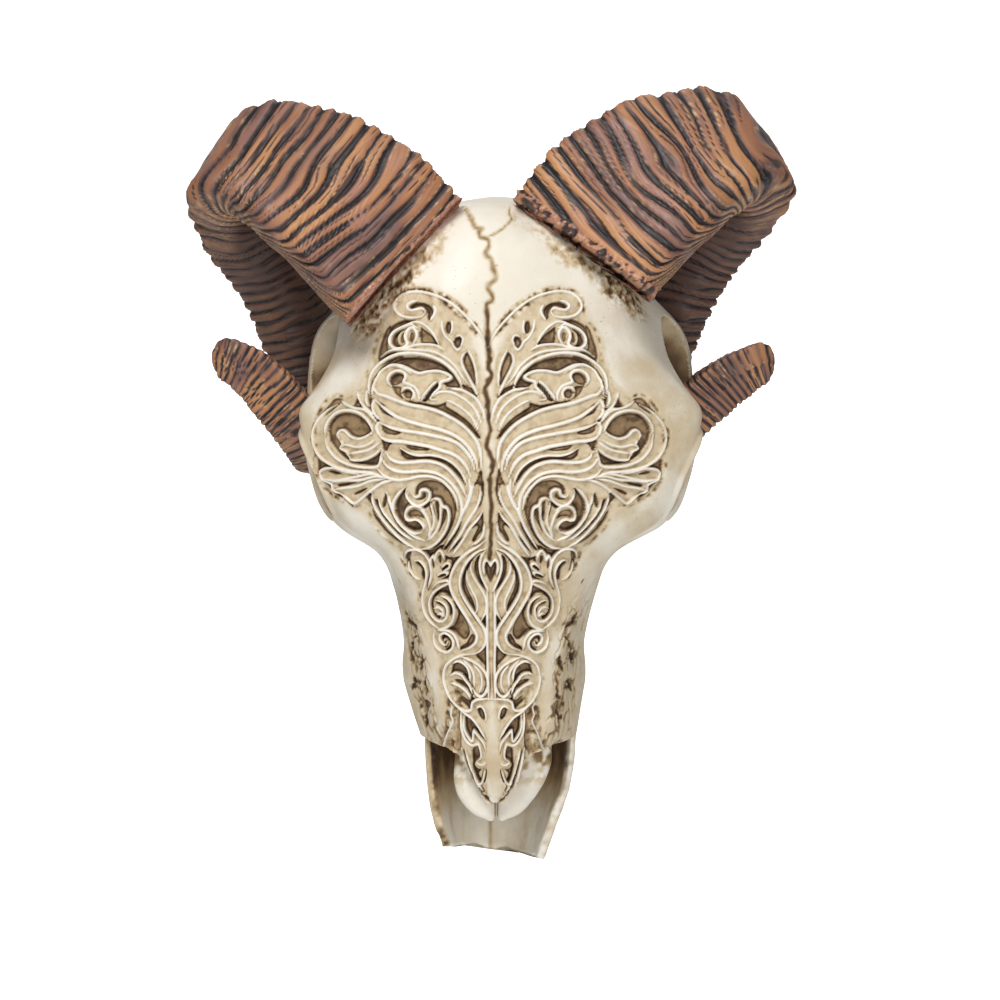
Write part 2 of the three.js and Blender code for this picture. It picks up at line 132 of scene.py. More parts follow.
def gridPiece(name, points, nodes, material, paint=None, normals=None, flip=False):
    # one closed piece from rows of rings: a quad between neighbours, and a fan to the middle at both ends
    rows, columns = points.shape[:2]
    index = np.arange(rows * columns).reshape(rows, columns)
    right = np.roll(index, -1, 1)
    quads = np.stack([index[:-1], right[:-1], right[1:], index[1:]], -1).reshape(-1, 4)
    middles = [points[0].mean(0), points[-1].mean(0)]
    vertices = np.concatenate([points.reshape(-1, 3), middles]) / 1000
    low, high = rows * columns, rows * columns + 1
    fans = np.concatenate([np.stack([right[0], index[0], np.full(columns, low)], -1),
                           np.stack([index[-1], right[-1], np.full(columns, high)], -1)])
    if flip:
        quads, fans = quads[:, ::-1], fans[:, ::-1]
    mesh = bpy.data.meshes.new(name)
    mesh.vertices.add(len(vertices))
    mesh.vertices.foreach_set("co", vertices.astype(np.float32).ravel())
    loops = np.concatenate([quads.ravel(), fans.ravel()]).astype(np.int32)
    mesh.loops.add(len(loops))
    mesh.loops.foreach_set("vertex_index", loops)
    starts = np.concatenate([np.arange(len(quads)) * 4, len(quads) * 4 + np.arange(len(fans)) * 3])
    mesh.polygons.add(len(starts))
    mesh.polygons.foreach_set("loop_start", starts.astype(np.int32))
    mesh.update(calc_edges=True)
    mesh.shade_smooth()
    for key, values in (paint or {}).items():
        layer = mesh.attributes.new(key, "FLOAT", "POINT")
        flat = np.concatenate([values.ravel(), [values[0].mean(), values[-1].mean()]])
        layer.data.foreach_set("value", flat.astype(np.float32))
    if normals is not None:
        inner = np.concatenate([normals.reshape(-1, 3), [[0, 0, -1], [0, 0, 1]]])
        mesh.normals_split_custom_set_from_vertices(inner.astype(np.float32).tolist())
    mesh.validate()
    piece = bpy.data.objects.new(name, mesh)
    bpy.context.scene.collection.objects.link(piece)
    mesh.materials.append(material)
    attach(piece, "root")
    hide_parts(*nodes)
    return piece


view = {"target": (4.8, -110, -81.6), "distance": 3000, "lens": 225}
studio = {
    "air": 0.15,  # strength of the even light from all round
    "floorAt": -700, "backAt": 3700, "floorTone": (0.9, 0.9, 0.895),
    # how much the wall glows round its middle and further away, and how far out each holds, in metres
    "glow": 1.05, "dim": 0.2, "glowWithin": 1.0, "dimBeyond": 2.0,
    "lights": [("key", (-450, -1500, 1350), 0.8, 29), ("fill", (500, -2100, -150), 1.8, 15),
               ("rim", (200, 500, 1500), 1.0, 6)],  # name, place, size in m and power in W
    "aim": (0, -80, -70),
}


def makeCamera():
    camera = bpy.data.objects.new("camera", bpy.data.cameras.new("camera"))
    bpy.context.scene.collection.objects.link(camera)
    camera.data.lens, camera.data.sensor_width = view["lens"], 36
    camera.data.clip_end = 50
    x, y, z = view["target"]
    camera.location = (x / 1000, (y - view["distance"]) / 1000, z / 1000)
    camera.rotation_euler = (math.pi / 2, 0, 0)
    bpy.context.scene.camera = camera


def areaLight(name, at, size, power):
    light = bpy.data.objects.new(name, bpy.data.lights.new(name, "AREA"))
    light.data.shape, light.data.size, light.data.energy = "DISK", size, power
    bpy.context.scene.collection.objects.link(light)
    where = np.array(at) / 1000
    way = np.array(studio["aim"]) / 1000 - where
    light.location = where
    light.rotation_euler = (math.atan2(math.hypot(way[0], way[1]), -way[2]), 0, math.atan2(-way[0], way[1]))


def makeStudio():
    scene = bpy.context.scene
    scene.view_settings.view_transform = "Standard"
    world = bpy.data.worlds.new("studio")
    scene.world = world
    world.use_nodes = True
    world.node_tree.nodes["Background"].inputs["Color"].default_value = (1, 1, 1, 1)
    world.node_tree.nodes["Background"].inputs["Strength"].default_value = studio["air"]
    for light in studio["lights"]:
        areaLight(*light)
    # the sweep: a floor that turns up into a back wall, its side view carried across
    low, back = studio["floorAt"], studio["backAt"]
    side = smoothLine([[-4500, low], [back - 1200, low], [back - 500, low + 60], [back - 80, low + 560],
                       [back, 3200]], parts=12)
    across = np.linspace(-4000, 4000, 15)
    grid = np.stack(np.broadcast_arrays(across[None], side[:, :1], side[:, 1:]), -1)
    rows, columns = grid.shape[:2]
    index = np.arange(rows * columns).reshape(rows, columns)
    faces = np.stack([index[:-1, :-1], index[:-1, 1:], index[1:, 1:], index[1:, :-1]], -1).reshape(-1, 4)
    mesh = bpy.data.meshes.new("floor")
    mesh.from_pydata((grid.reshape(-1, 3) / 1000).tolist(), [], faces.tolist())
    mesh.shade_smooth()
    floor = bpy.data.objects.new("floor", mesh)
    scene.collection.objects.link(floor)
    paper = bpy.data.materials.new("paper")
    paper.use_nodes = True
    tree = paper.node_tree
    shader = tree.nodes["Principled BSDF"]
    shader.inputs["Base Color"].default_value = (*studio["floorTone"], 1)
    shader.inputs["Roughness"].default_value = 0.9
    shader.inputs["Emission Color"].default_value = (1, 1, 1, 1)
    # the wall behind the object glows white round its middle and fades out further away
    place = tree.nodes.new("ShaderNodeTexCoord")
    away = tree.nodes.new("ShaderNodeVectorMath")
    away.operation = "DISTANCE"
    away.inputs[1].default_value = (0, studio["backAt"] / 1000, -0.08)
    fade = tree.nodes.new("ShaderNodeMapRange")
    sockets = {"From Min": "dimBeyond", "From Max": "glowWithin", "To Min": "dim", "To Max": "glow"}
    for socket, key in sockets.items():
        fade.inputs[socket].default_value = studio[key]
    tree.links.new(place.outputs["Object"], away.inputs[0])
    tree.links.new(away.outputs["Value"], fade.inputs["Value"])
    tree.links.new(fade.outputs["Result"], shader.inputs["Emission Strength"])
    mesh.materials.append(paper)


makeCamera()
makeStudio()
print("camera and studio stand")


class Nodes:
    # a material's node tree with short calls: add a node, set or link its sockets by name
    def __init__(self, name):
        self.material = bpy.data.materials.new(name)
        self.material.use_nodes = True
        self.tree = self.material.node_tree
        self.shader = self.tree.nodes["Principled BSDF"]
        self.place = self.add("ShaderNodeTexCoord").outputs["Object"]

    def add(self, kind, sockets=None, **settings):
        node = self.tree.nodes.new(kind)
        for key, value in settings.items():
            setattr(node, key, value)
        for key, value in (sockets or {}).items():
            self.put(node.inputs[key], value)
        return node

    def put(self, socket, value):
        if isinstance(value, bpy.types.NodeSocket):
            self.tree.links.new(value, socket)
        else:
            socket.default_value = value

    def read(self, key):
        return self.add("ShaderNodeAttribute", attribute_name=key).outputs["Fac"]

    def noise(self, scale, detail=4, rough=0.55, where=None):
        return self.add("ShaderNodeTexNoise", {"Vector": where or self.place, "Scale": scale,
                                               "Detail": detail, "Roughness": rough}).outputs["Fac"]

    def math(self, kind, a, b=0.0, clamp=False):
        return self.add("ShaderNodeMath", {0: a, 1: b}, operation=kind, use_clamp=clamp).outputs[0]

    def swing(self, value, amount):
        # how far a value from 0 to 1 lies from its middle, times the amount
        return self.math("MULTIPLY", self.math("SUBTRACT", value, 0.5), amount)

    def levels(self, value, low, high, toLow, toHigh):
        return self.add("ShaderNodeMapRange", {"Value": value, "From Min": low, "From Max": high,
                                               "To Min": toLow, "To Max": toHigh}).outputs["Result"]

    def ramp(self, value, low, high):
        node = self.add("ShaderNodeMapRange", {"Value": value, "From Min": low, "From Max": high},
                        interpolation_type="SMOOTHSTEP")
        return node.outputs["Result"]

    def blend(self, share, a, b, kind="MIX"):
        node = self.add("ShaderNodeMix", data_type="RGBA", blend_type=kind)
        self.put(node.inputs["Factor"], share)
        self.put(node.inputs[6], a if hasattr(a, "links") else (*a, 1))
        self.put(node.inputs[7], b if hasattr(b, "links") else (*b, 1))
        return node.outputs[2]

    def bump(self, height, strength, distance, under=None):
        sockets = {"Height": height, "Strength": strength, "Distance": distance}
        if under is not None:
            sockets["Normal"] = under
        return self.add("ShaderNodeBump", sockets).outputs["Normal"]


boneLook = {
    "ivory": (0.84, 0.79, 0.69), "cream": (0.73, 0.665, 0.54), "chalkAndHighlight": (0.93, 0.90, 0.835),
    "straw": (0.60, 0.485, 0.315), "tan": (0.335, 0.225, 0.112), "umber": (0.105, 0.056, 0.025),
    "black": (0.018, 0.011, 0.008),
    "levels": {"straw": (0.04, 0.36), "tan": (0.30, 0.60), "umber": (0.52, 0.80), "black": (0.82, 1.05)},
    "roughness": (0.46, 0.72),  # of plain bone and of the darkest wash
}


def boneMaterial():
    m = Nodes("carvedBone")
    # the wash value carries the tan wash and also painted shade in the hollows, on the flanks, on the lower
    # face and inside the jaw; chalk is a pale rub that also serves as painted highlight
    washAndShade, chalkAndHighlight, grime = m.read("washAndShade"), m.read("chalkAndHighlight"), m.read("grime")
    cloud = m.ramp(m.noise(28, 3), 0.38, 0.66)
    streak = m.noise(150, 5, 0.65)
    colour = m.blend(m.math("MULTIPLY", cloud, 0.75), boneLook["ivory"], boneLook["cream"])
    cloudy = m.swing(m.noise(75, 4, 0.6), 0.14)
    broken = m.math("ADD", m.math("ADD", washAndShade, cloudy), m.swing(streak, 0.16))
    for tone, (low, high) in boneLook["levels"].items():
        colour = m.blend(m.ramp(broken, low, high), colour, boneLook[tone])
    pores = m.add("ShaderNodeTexVoronoi", {"Vector": m.place, "Scale": 420.0})
    speck = m.ramp(pores.outputs["Distance"], 0.16, 0.06)
    patch = m.ramp(m.noise(60, 2), 0.60, 0.72)
    dirt = m.math("MULTIPLY", speck, m.math("ADD", m.math("MULTIPLY", patch, 0.6), grime), clamp=True)
    colour = m.blend(dirt, colour, boneLook["umber"])
    # the chalk value paints a pale rub that also serves as painted highlight on the lips and on the right jaw
    # rim
    colour = m.blend(m.math("MULTIPLY", chalkAndHighlight, m.ramp(m.noise(300, 3), 0.22, 0.5)), colour, boneLook["chalkAndHighlight"])
    m.put(m.shader.inputs["Base Color"], colour)
    m.put(m.shader.inputs["Roughness"], m.levels(broken, 0, 0.8, *boneLook["roughness"]))
    pits = m.bump(dirt, 0.5, 0.0004)
    grain = m.bump(m.noise(700, 4, 0.6), 0.22, 0.0004, pits)
    m.put(m.shader.inputs["Normal"], m.bump(m.noise(90, 4), 0.25, 0.0012, grain))
    m.shader.inputs["Subsurface Weight"].default_value = 0.04
    m.shader.inputs["Subsurface Radius"].default_value = (0.004, 0.0028, 0.0016)
    m.shader.inputs["Specular IOR Level"].default_value = 0.42
    return m.material


hornLook = {
    "orange": (0.49, 0.235, 0.10), "copper": (0.34, 0.145, 0.075), "rose": (0.36, 0.185, 0.145),
    "mauve": (0.17, 0.092, 0.078), "dusk": (0.08, 0.046, 0.038), "black": (0.017, 0.014, 0.015),
    "gilt": (0.66, 0.43, 0.22), "burr": (0.42, 0.165, 0.10), "burrPale": (0.74, 0.46, 0.34),
    "roughness": (0.37, 0.56),
}


def hornMaterial():
    m = Nodes("ridgedHorn")
    groove, crest, shade, burr, tint = (m.read(key) for key in ("groove", "crest", "shade", "burr", "tint"))
    fleck = m.noise(240, 5, 0.65)
    soft = m.math("ADD", tint, m.swing(m.noise(60, 3), 0.2))
    colour = m.blend(m.ramp(soft, 0.10, 0.50), hornLook["mauve"], hornLook["copper"])
    colour = m.blend(m.ramp(soft, 0.40, 0.85), colour, hornLook["orange"])
    colour = m.blend(m.math("MULTIPLY", m.ramp(m.noise(36, 2), 0.50, 0.66), 0.45), colour, hornLook["rose"])
    # painted shade darkens the horn towards dusk where the shade value is high
    colour = m.blend(m.math("MULTIPLY", shade, 0.9), colour, hornLook["dusk"])
    broken = m.math("ADD", groove, m.swing(fleck, 0.34))
    colour = m.blend(m.ramp(broken, 0.18, 0.50), colour, hornLook["dusk"])
    colour = m.blend(m.ramp(broken, 0.52, 0.92), colour, hornLook["black"])
    worn = m.math("MULTIPLY", crest, m.ramp(fleck, 0.40, 0.60), clamp=True)
    # less gilt where the painted shade lies
    colour = m.blend(m.math("MULTIPLY", worn, m.ramp(shade, 1.0, 0.3)), colour, hornLook["gilt"])
    crumb = m.blend(m.ramp(m.noise(520, 4), 0.40, 0.62), hornLook["burr"], hornLook["burrPale"])
    colour = m.blend(m.math("MULTIPLY", burr, m.ramp(groove, 0.6, 0.2)), colour, crumb)
    m.put(m.shader.inputs["Base Color"], colour)
    m.put(m.shader.inputs["Roughness"], m.levels(fleck, 0.3, 0.7, *hornLook["roughness"]))
    grain = m.bump(m.noise(900, 4, 0.6), 0.25, 0.0003)
    m.put(m.shader.inputs["Normal"], m.bump(m.noise(300, 3), 0.25, 0.0005, grain))
    m.shader.inputs["Specular IOR Level"].default_value = 0.4
    return m.material


steelLook = {"bright": (0.62, 0.61, 0.59), "dull": (0.40, 0.39, 0.38), "roughness": (0.28, 0.45)}


def steelMaterial():
    m = Nodes("zincedSteel")
    cloud = m.noise(180, 4, 0.6)
    colour = m.blend(m.ramp(cloud, 0.35, 0.65), steelLook["bright"], steelLook["dull"])
    m.put(m.shader.inputs["Base Color"], colour)
    m.put(m.shader.inputs["Roughness"], m.levels(cloud, 0.3, 0.7, *steelLook["roughness"]))
    m.shader.inputs["Metallic"].default_value = 1
    m.put(m.shader.inputs["Normal"], m.bump(m.noise(1500, 2), 0.1, 0.0001))
    return m.material


bone, horn, steel = boneMaterial(), hornMaterial(), steelMaterial()

# The carved ornament of one half of the face.
# Each line is a run of points in tenths of a millimetre: how far from the midline, and the height.
# A raised lip has its half width first, a recess its depth; a recess is a closed outline.

lipLines = {
    "crestInner": (0.53, "559 -327 554 -280 536 -236 505 -192 451 -170 398 -188 363 -213"),
    "crestOuter": (0.53, "326 -113 415 -117 469 -130 523 -165 559 -209 572 -262 568 -325"),
    "frondOuter": (0.72, "2 -94 22 -42 56 9 100 59 149 105 202 142 265 169 332 184 390 180 428 159 447 130 "
        "447 101 422 72 383 59 345 59 316 65 299 85"),
    "frondCurl": (0.62, "341 141 375 129 389 112 374 95 345 97 316 102 299 87"),
    "frondNeck": (0.62, "264 118 252 94 258 70 277 43"),
    "eyeLip1": (0.53, "222 45 217 2 199 -36 173 -60 160 -84 141 -99 122 -75"),
    "eyeLip1b": (0.43, "172 45 169 7 176 -22"),
    "eyeLip2": (0.43, "156 -36 132 -29 118 -51 127 -80"),
    "tearLip": (0.58, "98 -104 117 -123 125 -152 113 -190 87 -238 48 -324"),
    "tearLip2": (0.43, "93 -99 70 -147 56 -204 52 -271"),
    "frondInner": (0.48, "388 28 354 37 320 32 281 3 252 -36 235 -74"),
    "nineOuter": (0.82, "339 8 368 25 407 14 447 -7 469 -39 468 -70 444 -89 410 -87 386 -68 396 -35 387 -6 "
        "363 11 344 -6 341 -35 357 -69"),
    "nineBase": (0.58, "415 -97 372 -81 324 -71 276 -72 242 -79 208 -99"),
    "archOuter": (0.82, "516 -166 478 -137 439 -120 395 -112 333 -115 280 -127 232 -146 190 -175 156 -209 "
        "135 -247 124 -281"),
    "archOuter2": (0.48, "516 -130 468 -101 410 -95 323 -98 256 -108 199 -137 156 -175 128 -219 95 -262"),
    "archInner": (0.72, "517 -207 488 -181 454 -168 415 -172 382 -186 353 -202 324 -209 286 -201 238 -199 "
        "200 -210 176 -227 190 -242 224 -252 234 -281 263 -309 277 -333 249 -338"),
    "circleLip1": (0.72, "464 -270 481 -246 473 -217 444 -198 411 -201 394 -222 404 -251 382 -261 353 -275 "
        "334 -304 330 -343"),
    "circleLip2": (0.58, "414 -299 402 -282 377 -280 358 -295 356 -319 368 -338"),
    "leafTop": (0.67, "243 -247 272 -273 301 -309 320 -340"),
    "leafA": (0.67, "195 -278 167 -283 124 -291 86 -310 53 -338 25 -391 11 -453"),
    "leafB": (0.53, "258 -319 229 -300 181 -300 138 -319 96 -348 58 -391 35 -453"),
    "leafC": (0.48, "201 -338 158 -357 115 -386 78 -424 50 -482"),
    "w0": (0.91, "546 -240 546 -279 527 -308 493 -318 445 -337 383 -359 316 -371 244 -391 178 -424 "
        "121 -462 79 -505 51 -553 40 -615 42 -663"),
    "w1": (0.96, "542 -332 527 -351 494 -380 446 -414 389 -438 312 -460 236 -479 174 -503 127 -534 90 -577 "
        "65 -630 56 -682"),
    "w2": (0.86, "523 -445 471 -469 413 -483 346 -493 270 -508 203 -524 151 -546 114 -582 86 -625 73 -673"),
    "w3": (0.96, "534 -490 515 -517 477 -533 424 -536 366 -546 290 -560 228 -579 176 -596 134 -627 "
        "106 -668 93 -706"),
    "w4": (0.53, "425 -569 387 -591 339 -603 282 -601 224 -615 173 -644 135 -687 108 -754"),
    "lobe1": (0.67, "542 -332 556 -365 549 -399 523 -433"),
    "lobe2": (0.67, "523 -438 538 -471 524 -509"),
    "v1": (0.82, "497 -586 474 -620 431 -636 374 -636 311 -631 254 -639 207 -663 169 -701 137 -749 "
        "114 -802"),
    "v2": (0.77, "522 -610 494 -653 447 -677 389 -682 322 -677 255 -689 203 -720 161 -768 139 -826 "
        "139 -883 159 -941 193 -998 227 -1046"),
    "v3": (0.62, "543 -663 505 -701 448 -720 390 -715 342 -704 289 -704 237 -720 195 -759 165 -806 "
        "154 -864"),
    "v4": (0.58, "103 -711 94 -759 105 -816 139 -893 174 -965 218 -1037"),
    "stripA": (0.67, "44 -749 47 -802 67 -854 111 -921 150 -989 204 -1066"),
    "stripB": (0.58, "79 -739 95 -802 120 -864"),
    "stripC": (0.62, "39 -873 58 -907 97 -950 136 -1013 189 -1085"),
    "stripD": (0.53, "30 -931 35 -979 59 -1013 88 -1032"),
    "ringIn": (0.77, "789 -508 783 -460 756 -418 717 -391 668 -386 617 -401 579 -435 558 -480 563 -500"),
    "ringIn2": (0.67, "789 -508 778 -561 745 -607 697 -638 640 -655 582 -660 533 -653 520 -605 511 -572"),
    "ringOut": (0.67, "726 -355 780 -390 824 -436 847 -484 848 -541 823 -599 775 -640 718 -664 650 -679 "
        "573 -686 496 -711"),
    "ringTop": (0.62, "706 -338 677 -360 639 -375 595 -384 557 -418 533 -452"),
    "ringTop2": (0.58, "628 -293 619 -331 600 -365 571 -389 547 -423"),
    "ringTop3": (0.48, "580 -288 585 -336 571 -370"),
    "cLeaf1": (0.62, "721 -528 728 -504 713 -482 691 -485 665 -511 626 -523 587 -511 560 -490"),
    "cLeaf2": (0.53, "710 -559 685 -551 642 -562 593 -555 544 -528"),
    "cLeaf3": (0.53, "672 -593 633 -588 574 -574 520 -538"),
    "cLeaf4": (0.62, "672 -609 663 -624 614 -624 561 -605 519 -572"),
    "cLobe": (0.48, "718 -528 704 -547 715 -568 686 -585 677 -609"),
    "fan1": (0.62, "817 -710 819 -681 796 -666 747 -662 699 -677 631 -691"),
    "fan2": (0.58, "807 -715 744 -722 670 -710 592 -694 534 -691"),
    "fan3": (0.58, "764 -739 754 -729 695 -722 622 -720 549 -703 496 -711"),
    "fan4": (0.58, "755 -768 706 -758 642 -751 574 -725 506 -715"),
    "fan5": (0.67, "722 -787 693 -806 657 -833 620 -809 575 -773 516 -734 458 -720"),
    "fanEdge": (0.43, "819 -681 812 -715 764 -739 758 -768 722 -787"),
    "stemA": (0.67, "570 -778 562 -830 529 -893 482 -951 425 -1008 367 -1047"),
    "stemB": (0.48, "537 -806 519 -864 476 -922 424 -975 367 -1013"),
    "stemC": (0.62, "498 -778 480 -835 461 -888 424 -941 376 -984 318 -1013"),
    "swirlA": (0.67, "401 -766 404 -792 383 -826 350 -845 316 -835 292 -809 291 -780 312 -766 334 -773 "
        "339 -794 361 -802 375 -787"),
    "swirlB": (0.67, "312 -869 336 -850 369 -845 396 -859 408 -883 404 -907 385 -914 360 -910 337 -921 "
        "320 -948 332 -972"),
    "swirlC": (0.58, "341 -854 317 -878 298 -917 289 -960 299 -1003"),
    "ovalRim": (0.72, "332 -972 366 -977 409 -955 445 -917 466 -874 463 -826 440 -787 408 -756"),
    "lobeA": (0.67, "283 -821 268 -810 244 -816 230 -845 209 -854 198 -883 202 -926 222 -974 256 -1018 "
        "300 -1047 338 -1054"),
    "lobeB": (0.48, "287 -830 278 -869 269 -917 284 -974"),
    "lobeC": (0.53, "239 -830 238 -878 245 -931 270 -979 309 -1013"),
    "wist1": (0.67, "416 -1095 406 -1066 377 -1054 343 -1059 310 -1085 291 -1126 287 -1182 303 -1240"),
    "wist2": (0.62, "368 -1110 344 -1109 320 -1131 309 -1167 314 -1211 326 -1259 329 -1308 319 -1361 "
        "292 -1405 254 -1438"),
    "wist3": (0.38, "397 -1115 388 -1153 365 -1187 341 -1201"),
    "palm1": (0.53, "286 -1138 289 -1104 278 -1085 267 -1104 261 -1075 244 -1058 228 -1080 223 -1109"),
    "palm2": (0.48, "238 -1143 214 -1121 197 -1126 202 -1143 229 -1160"),
    "palm3": (0.48, "258 -1181 234 -1166 207 -1164 215 -1181"),
    "palm4": (0.58, "283 -1240 259 -1215 220 -1203 198 -1213 235 -1232 274 -1261 294 -1298 295 -1342 "
        "280 -1380 251 -1401 224 -1394 210 -1365 214 -1331 238 -1309 272 -1300"),
    "spiral2": (0.62, "254 -1438 217 -1431 188 -1404 177 -1360 185 -1319 212 -1288 245 -1278"),
    "spiral3": (0.48, "277 -1341 256 -1333 234 -1348 229 -1375 244 -1363 261 -1370"),
    "curl2a": (0.62, "273 -1448 278 -1482 267 -1521 242 -1544 213 -1550 187 -1530 183 -1496 203 -1467 "
        "230 -1458 248 -1475 242 -1501 220 -1518 211 -1499"),
    "curl2b": (0.62, "261 -1446 222 -1444 189 -1457 165 -1491 155 -1539"),
    "lyreOut": (0.82, "21 -1008 59 -1037 103 -1063 141 -1094 171 -1133 191 -1179 196 -1220 185 -1263 "
        "161 -1309 135 -1353 109 -1394 85 -1437 68 -1471 76 -1505 105 -1529 141 -1542"),
    "lyreIn": (0.82, "21 -1051 60 -1063 93 -1089 123 -1126 142 -1169 149 -1212 142 -1258 123 -1299 "
        "94 -1345 63 -1391 34 -1435 24 -1476 32 -1515 59 -1549 93 -1561"),
    "leafIn1": (0.58, "89 -1113 96 -1142 87 -1176 64 -1217 38 -1258 23 -1302 24 -1350 46 -1398"),
    "leafIn2": (0.53, "116 -1157 112 -1200 91 -1248 68 -1297 65 -1340 75 -1364"),
    "leafIn3": (0.62, "26 -1061 45 -1089 53 -1128 47 -1176 28 -1219 9 -1258"),
    "heart": (0.62, "30 -1176 35 -1133 24 -1104 7 -1118 0 -1138"),
    "stem": (0.72, "17 -1248 18 -1393 18 -1587 17 -1733 16 -1782"),
    "kidOut": (0.67, "98 -1561 136 -1564 180 -1581 214 -1608 229 -1642 232 -1686 221 -1735 198 -1781 "
        "167 -1815 133 -1836 104 -1831 96 -1797 72 -1781 33 -1777 0 -1779"),
    "kidOut2": (0.58, "193 -1784 164 -1820 131 -1849 97 -1875 64 -1919 32 -1977"),
    "kid1": (0.72, "151 -1571 103 -1588 60 -1614 29 -1653 18 -1704 30 -1745 55 -1766 79 -1751 93 -1724"),
    "kid2": (0.58, "137 -1585 103 -1622 85 -1665 85 -1719"),
    "kid3": (0.48, "89 -1607 55 -1651 47 -1704 62 -1748"),
    "kid4": (0.62, "203 -1666 176 -1652 147 -1661 128 -1685 105 -1719 95 -1753"),
    "kid5": (0.58, "201 -1701 177 -1705 143 -1724 115 -1753 105 -1778"),
    "kid6": (0.58, "190 -1608 161 -1595 127 -1612 109 -1646 104 -1690"),
    "eyelet": (0.48, "80 -1826 60 -1813 42 -1826 30 -1865 37 -1887"),
    "branch1": (0.62, "152 -1842 152 -1890 147 -1939 129 -1981 100 -2004 71 -1997 62 -2017 58 -2061 "
        "83 -2086"),
    "branch2": (0.62, "138 -1861 137 -1920 119 -1963 97 -1983 91 -1934 70 -1958 44 -1992 33 -2036"),
    "tri1": (0.53, "83 -2086 60 -2100 35 -2090"),
    "tri2": (0.48, "80 -2206 59 -2185 48 -2155 41 -2120"),
    "noseEdge": (0.58, "154 -2018 134 -2092 110 -2176 86 -2229 45 -2275 2 -2301"),
    "noseEdge2": (0.58, "135 -2023 117 -2081 96 -2151 75 -2200 57 -2230"),
    "rimA": (0.48, "208 -1799 193 -1818 199 -1857 190 -1891 215 -1941 234 -2006 243 -2066"),
}

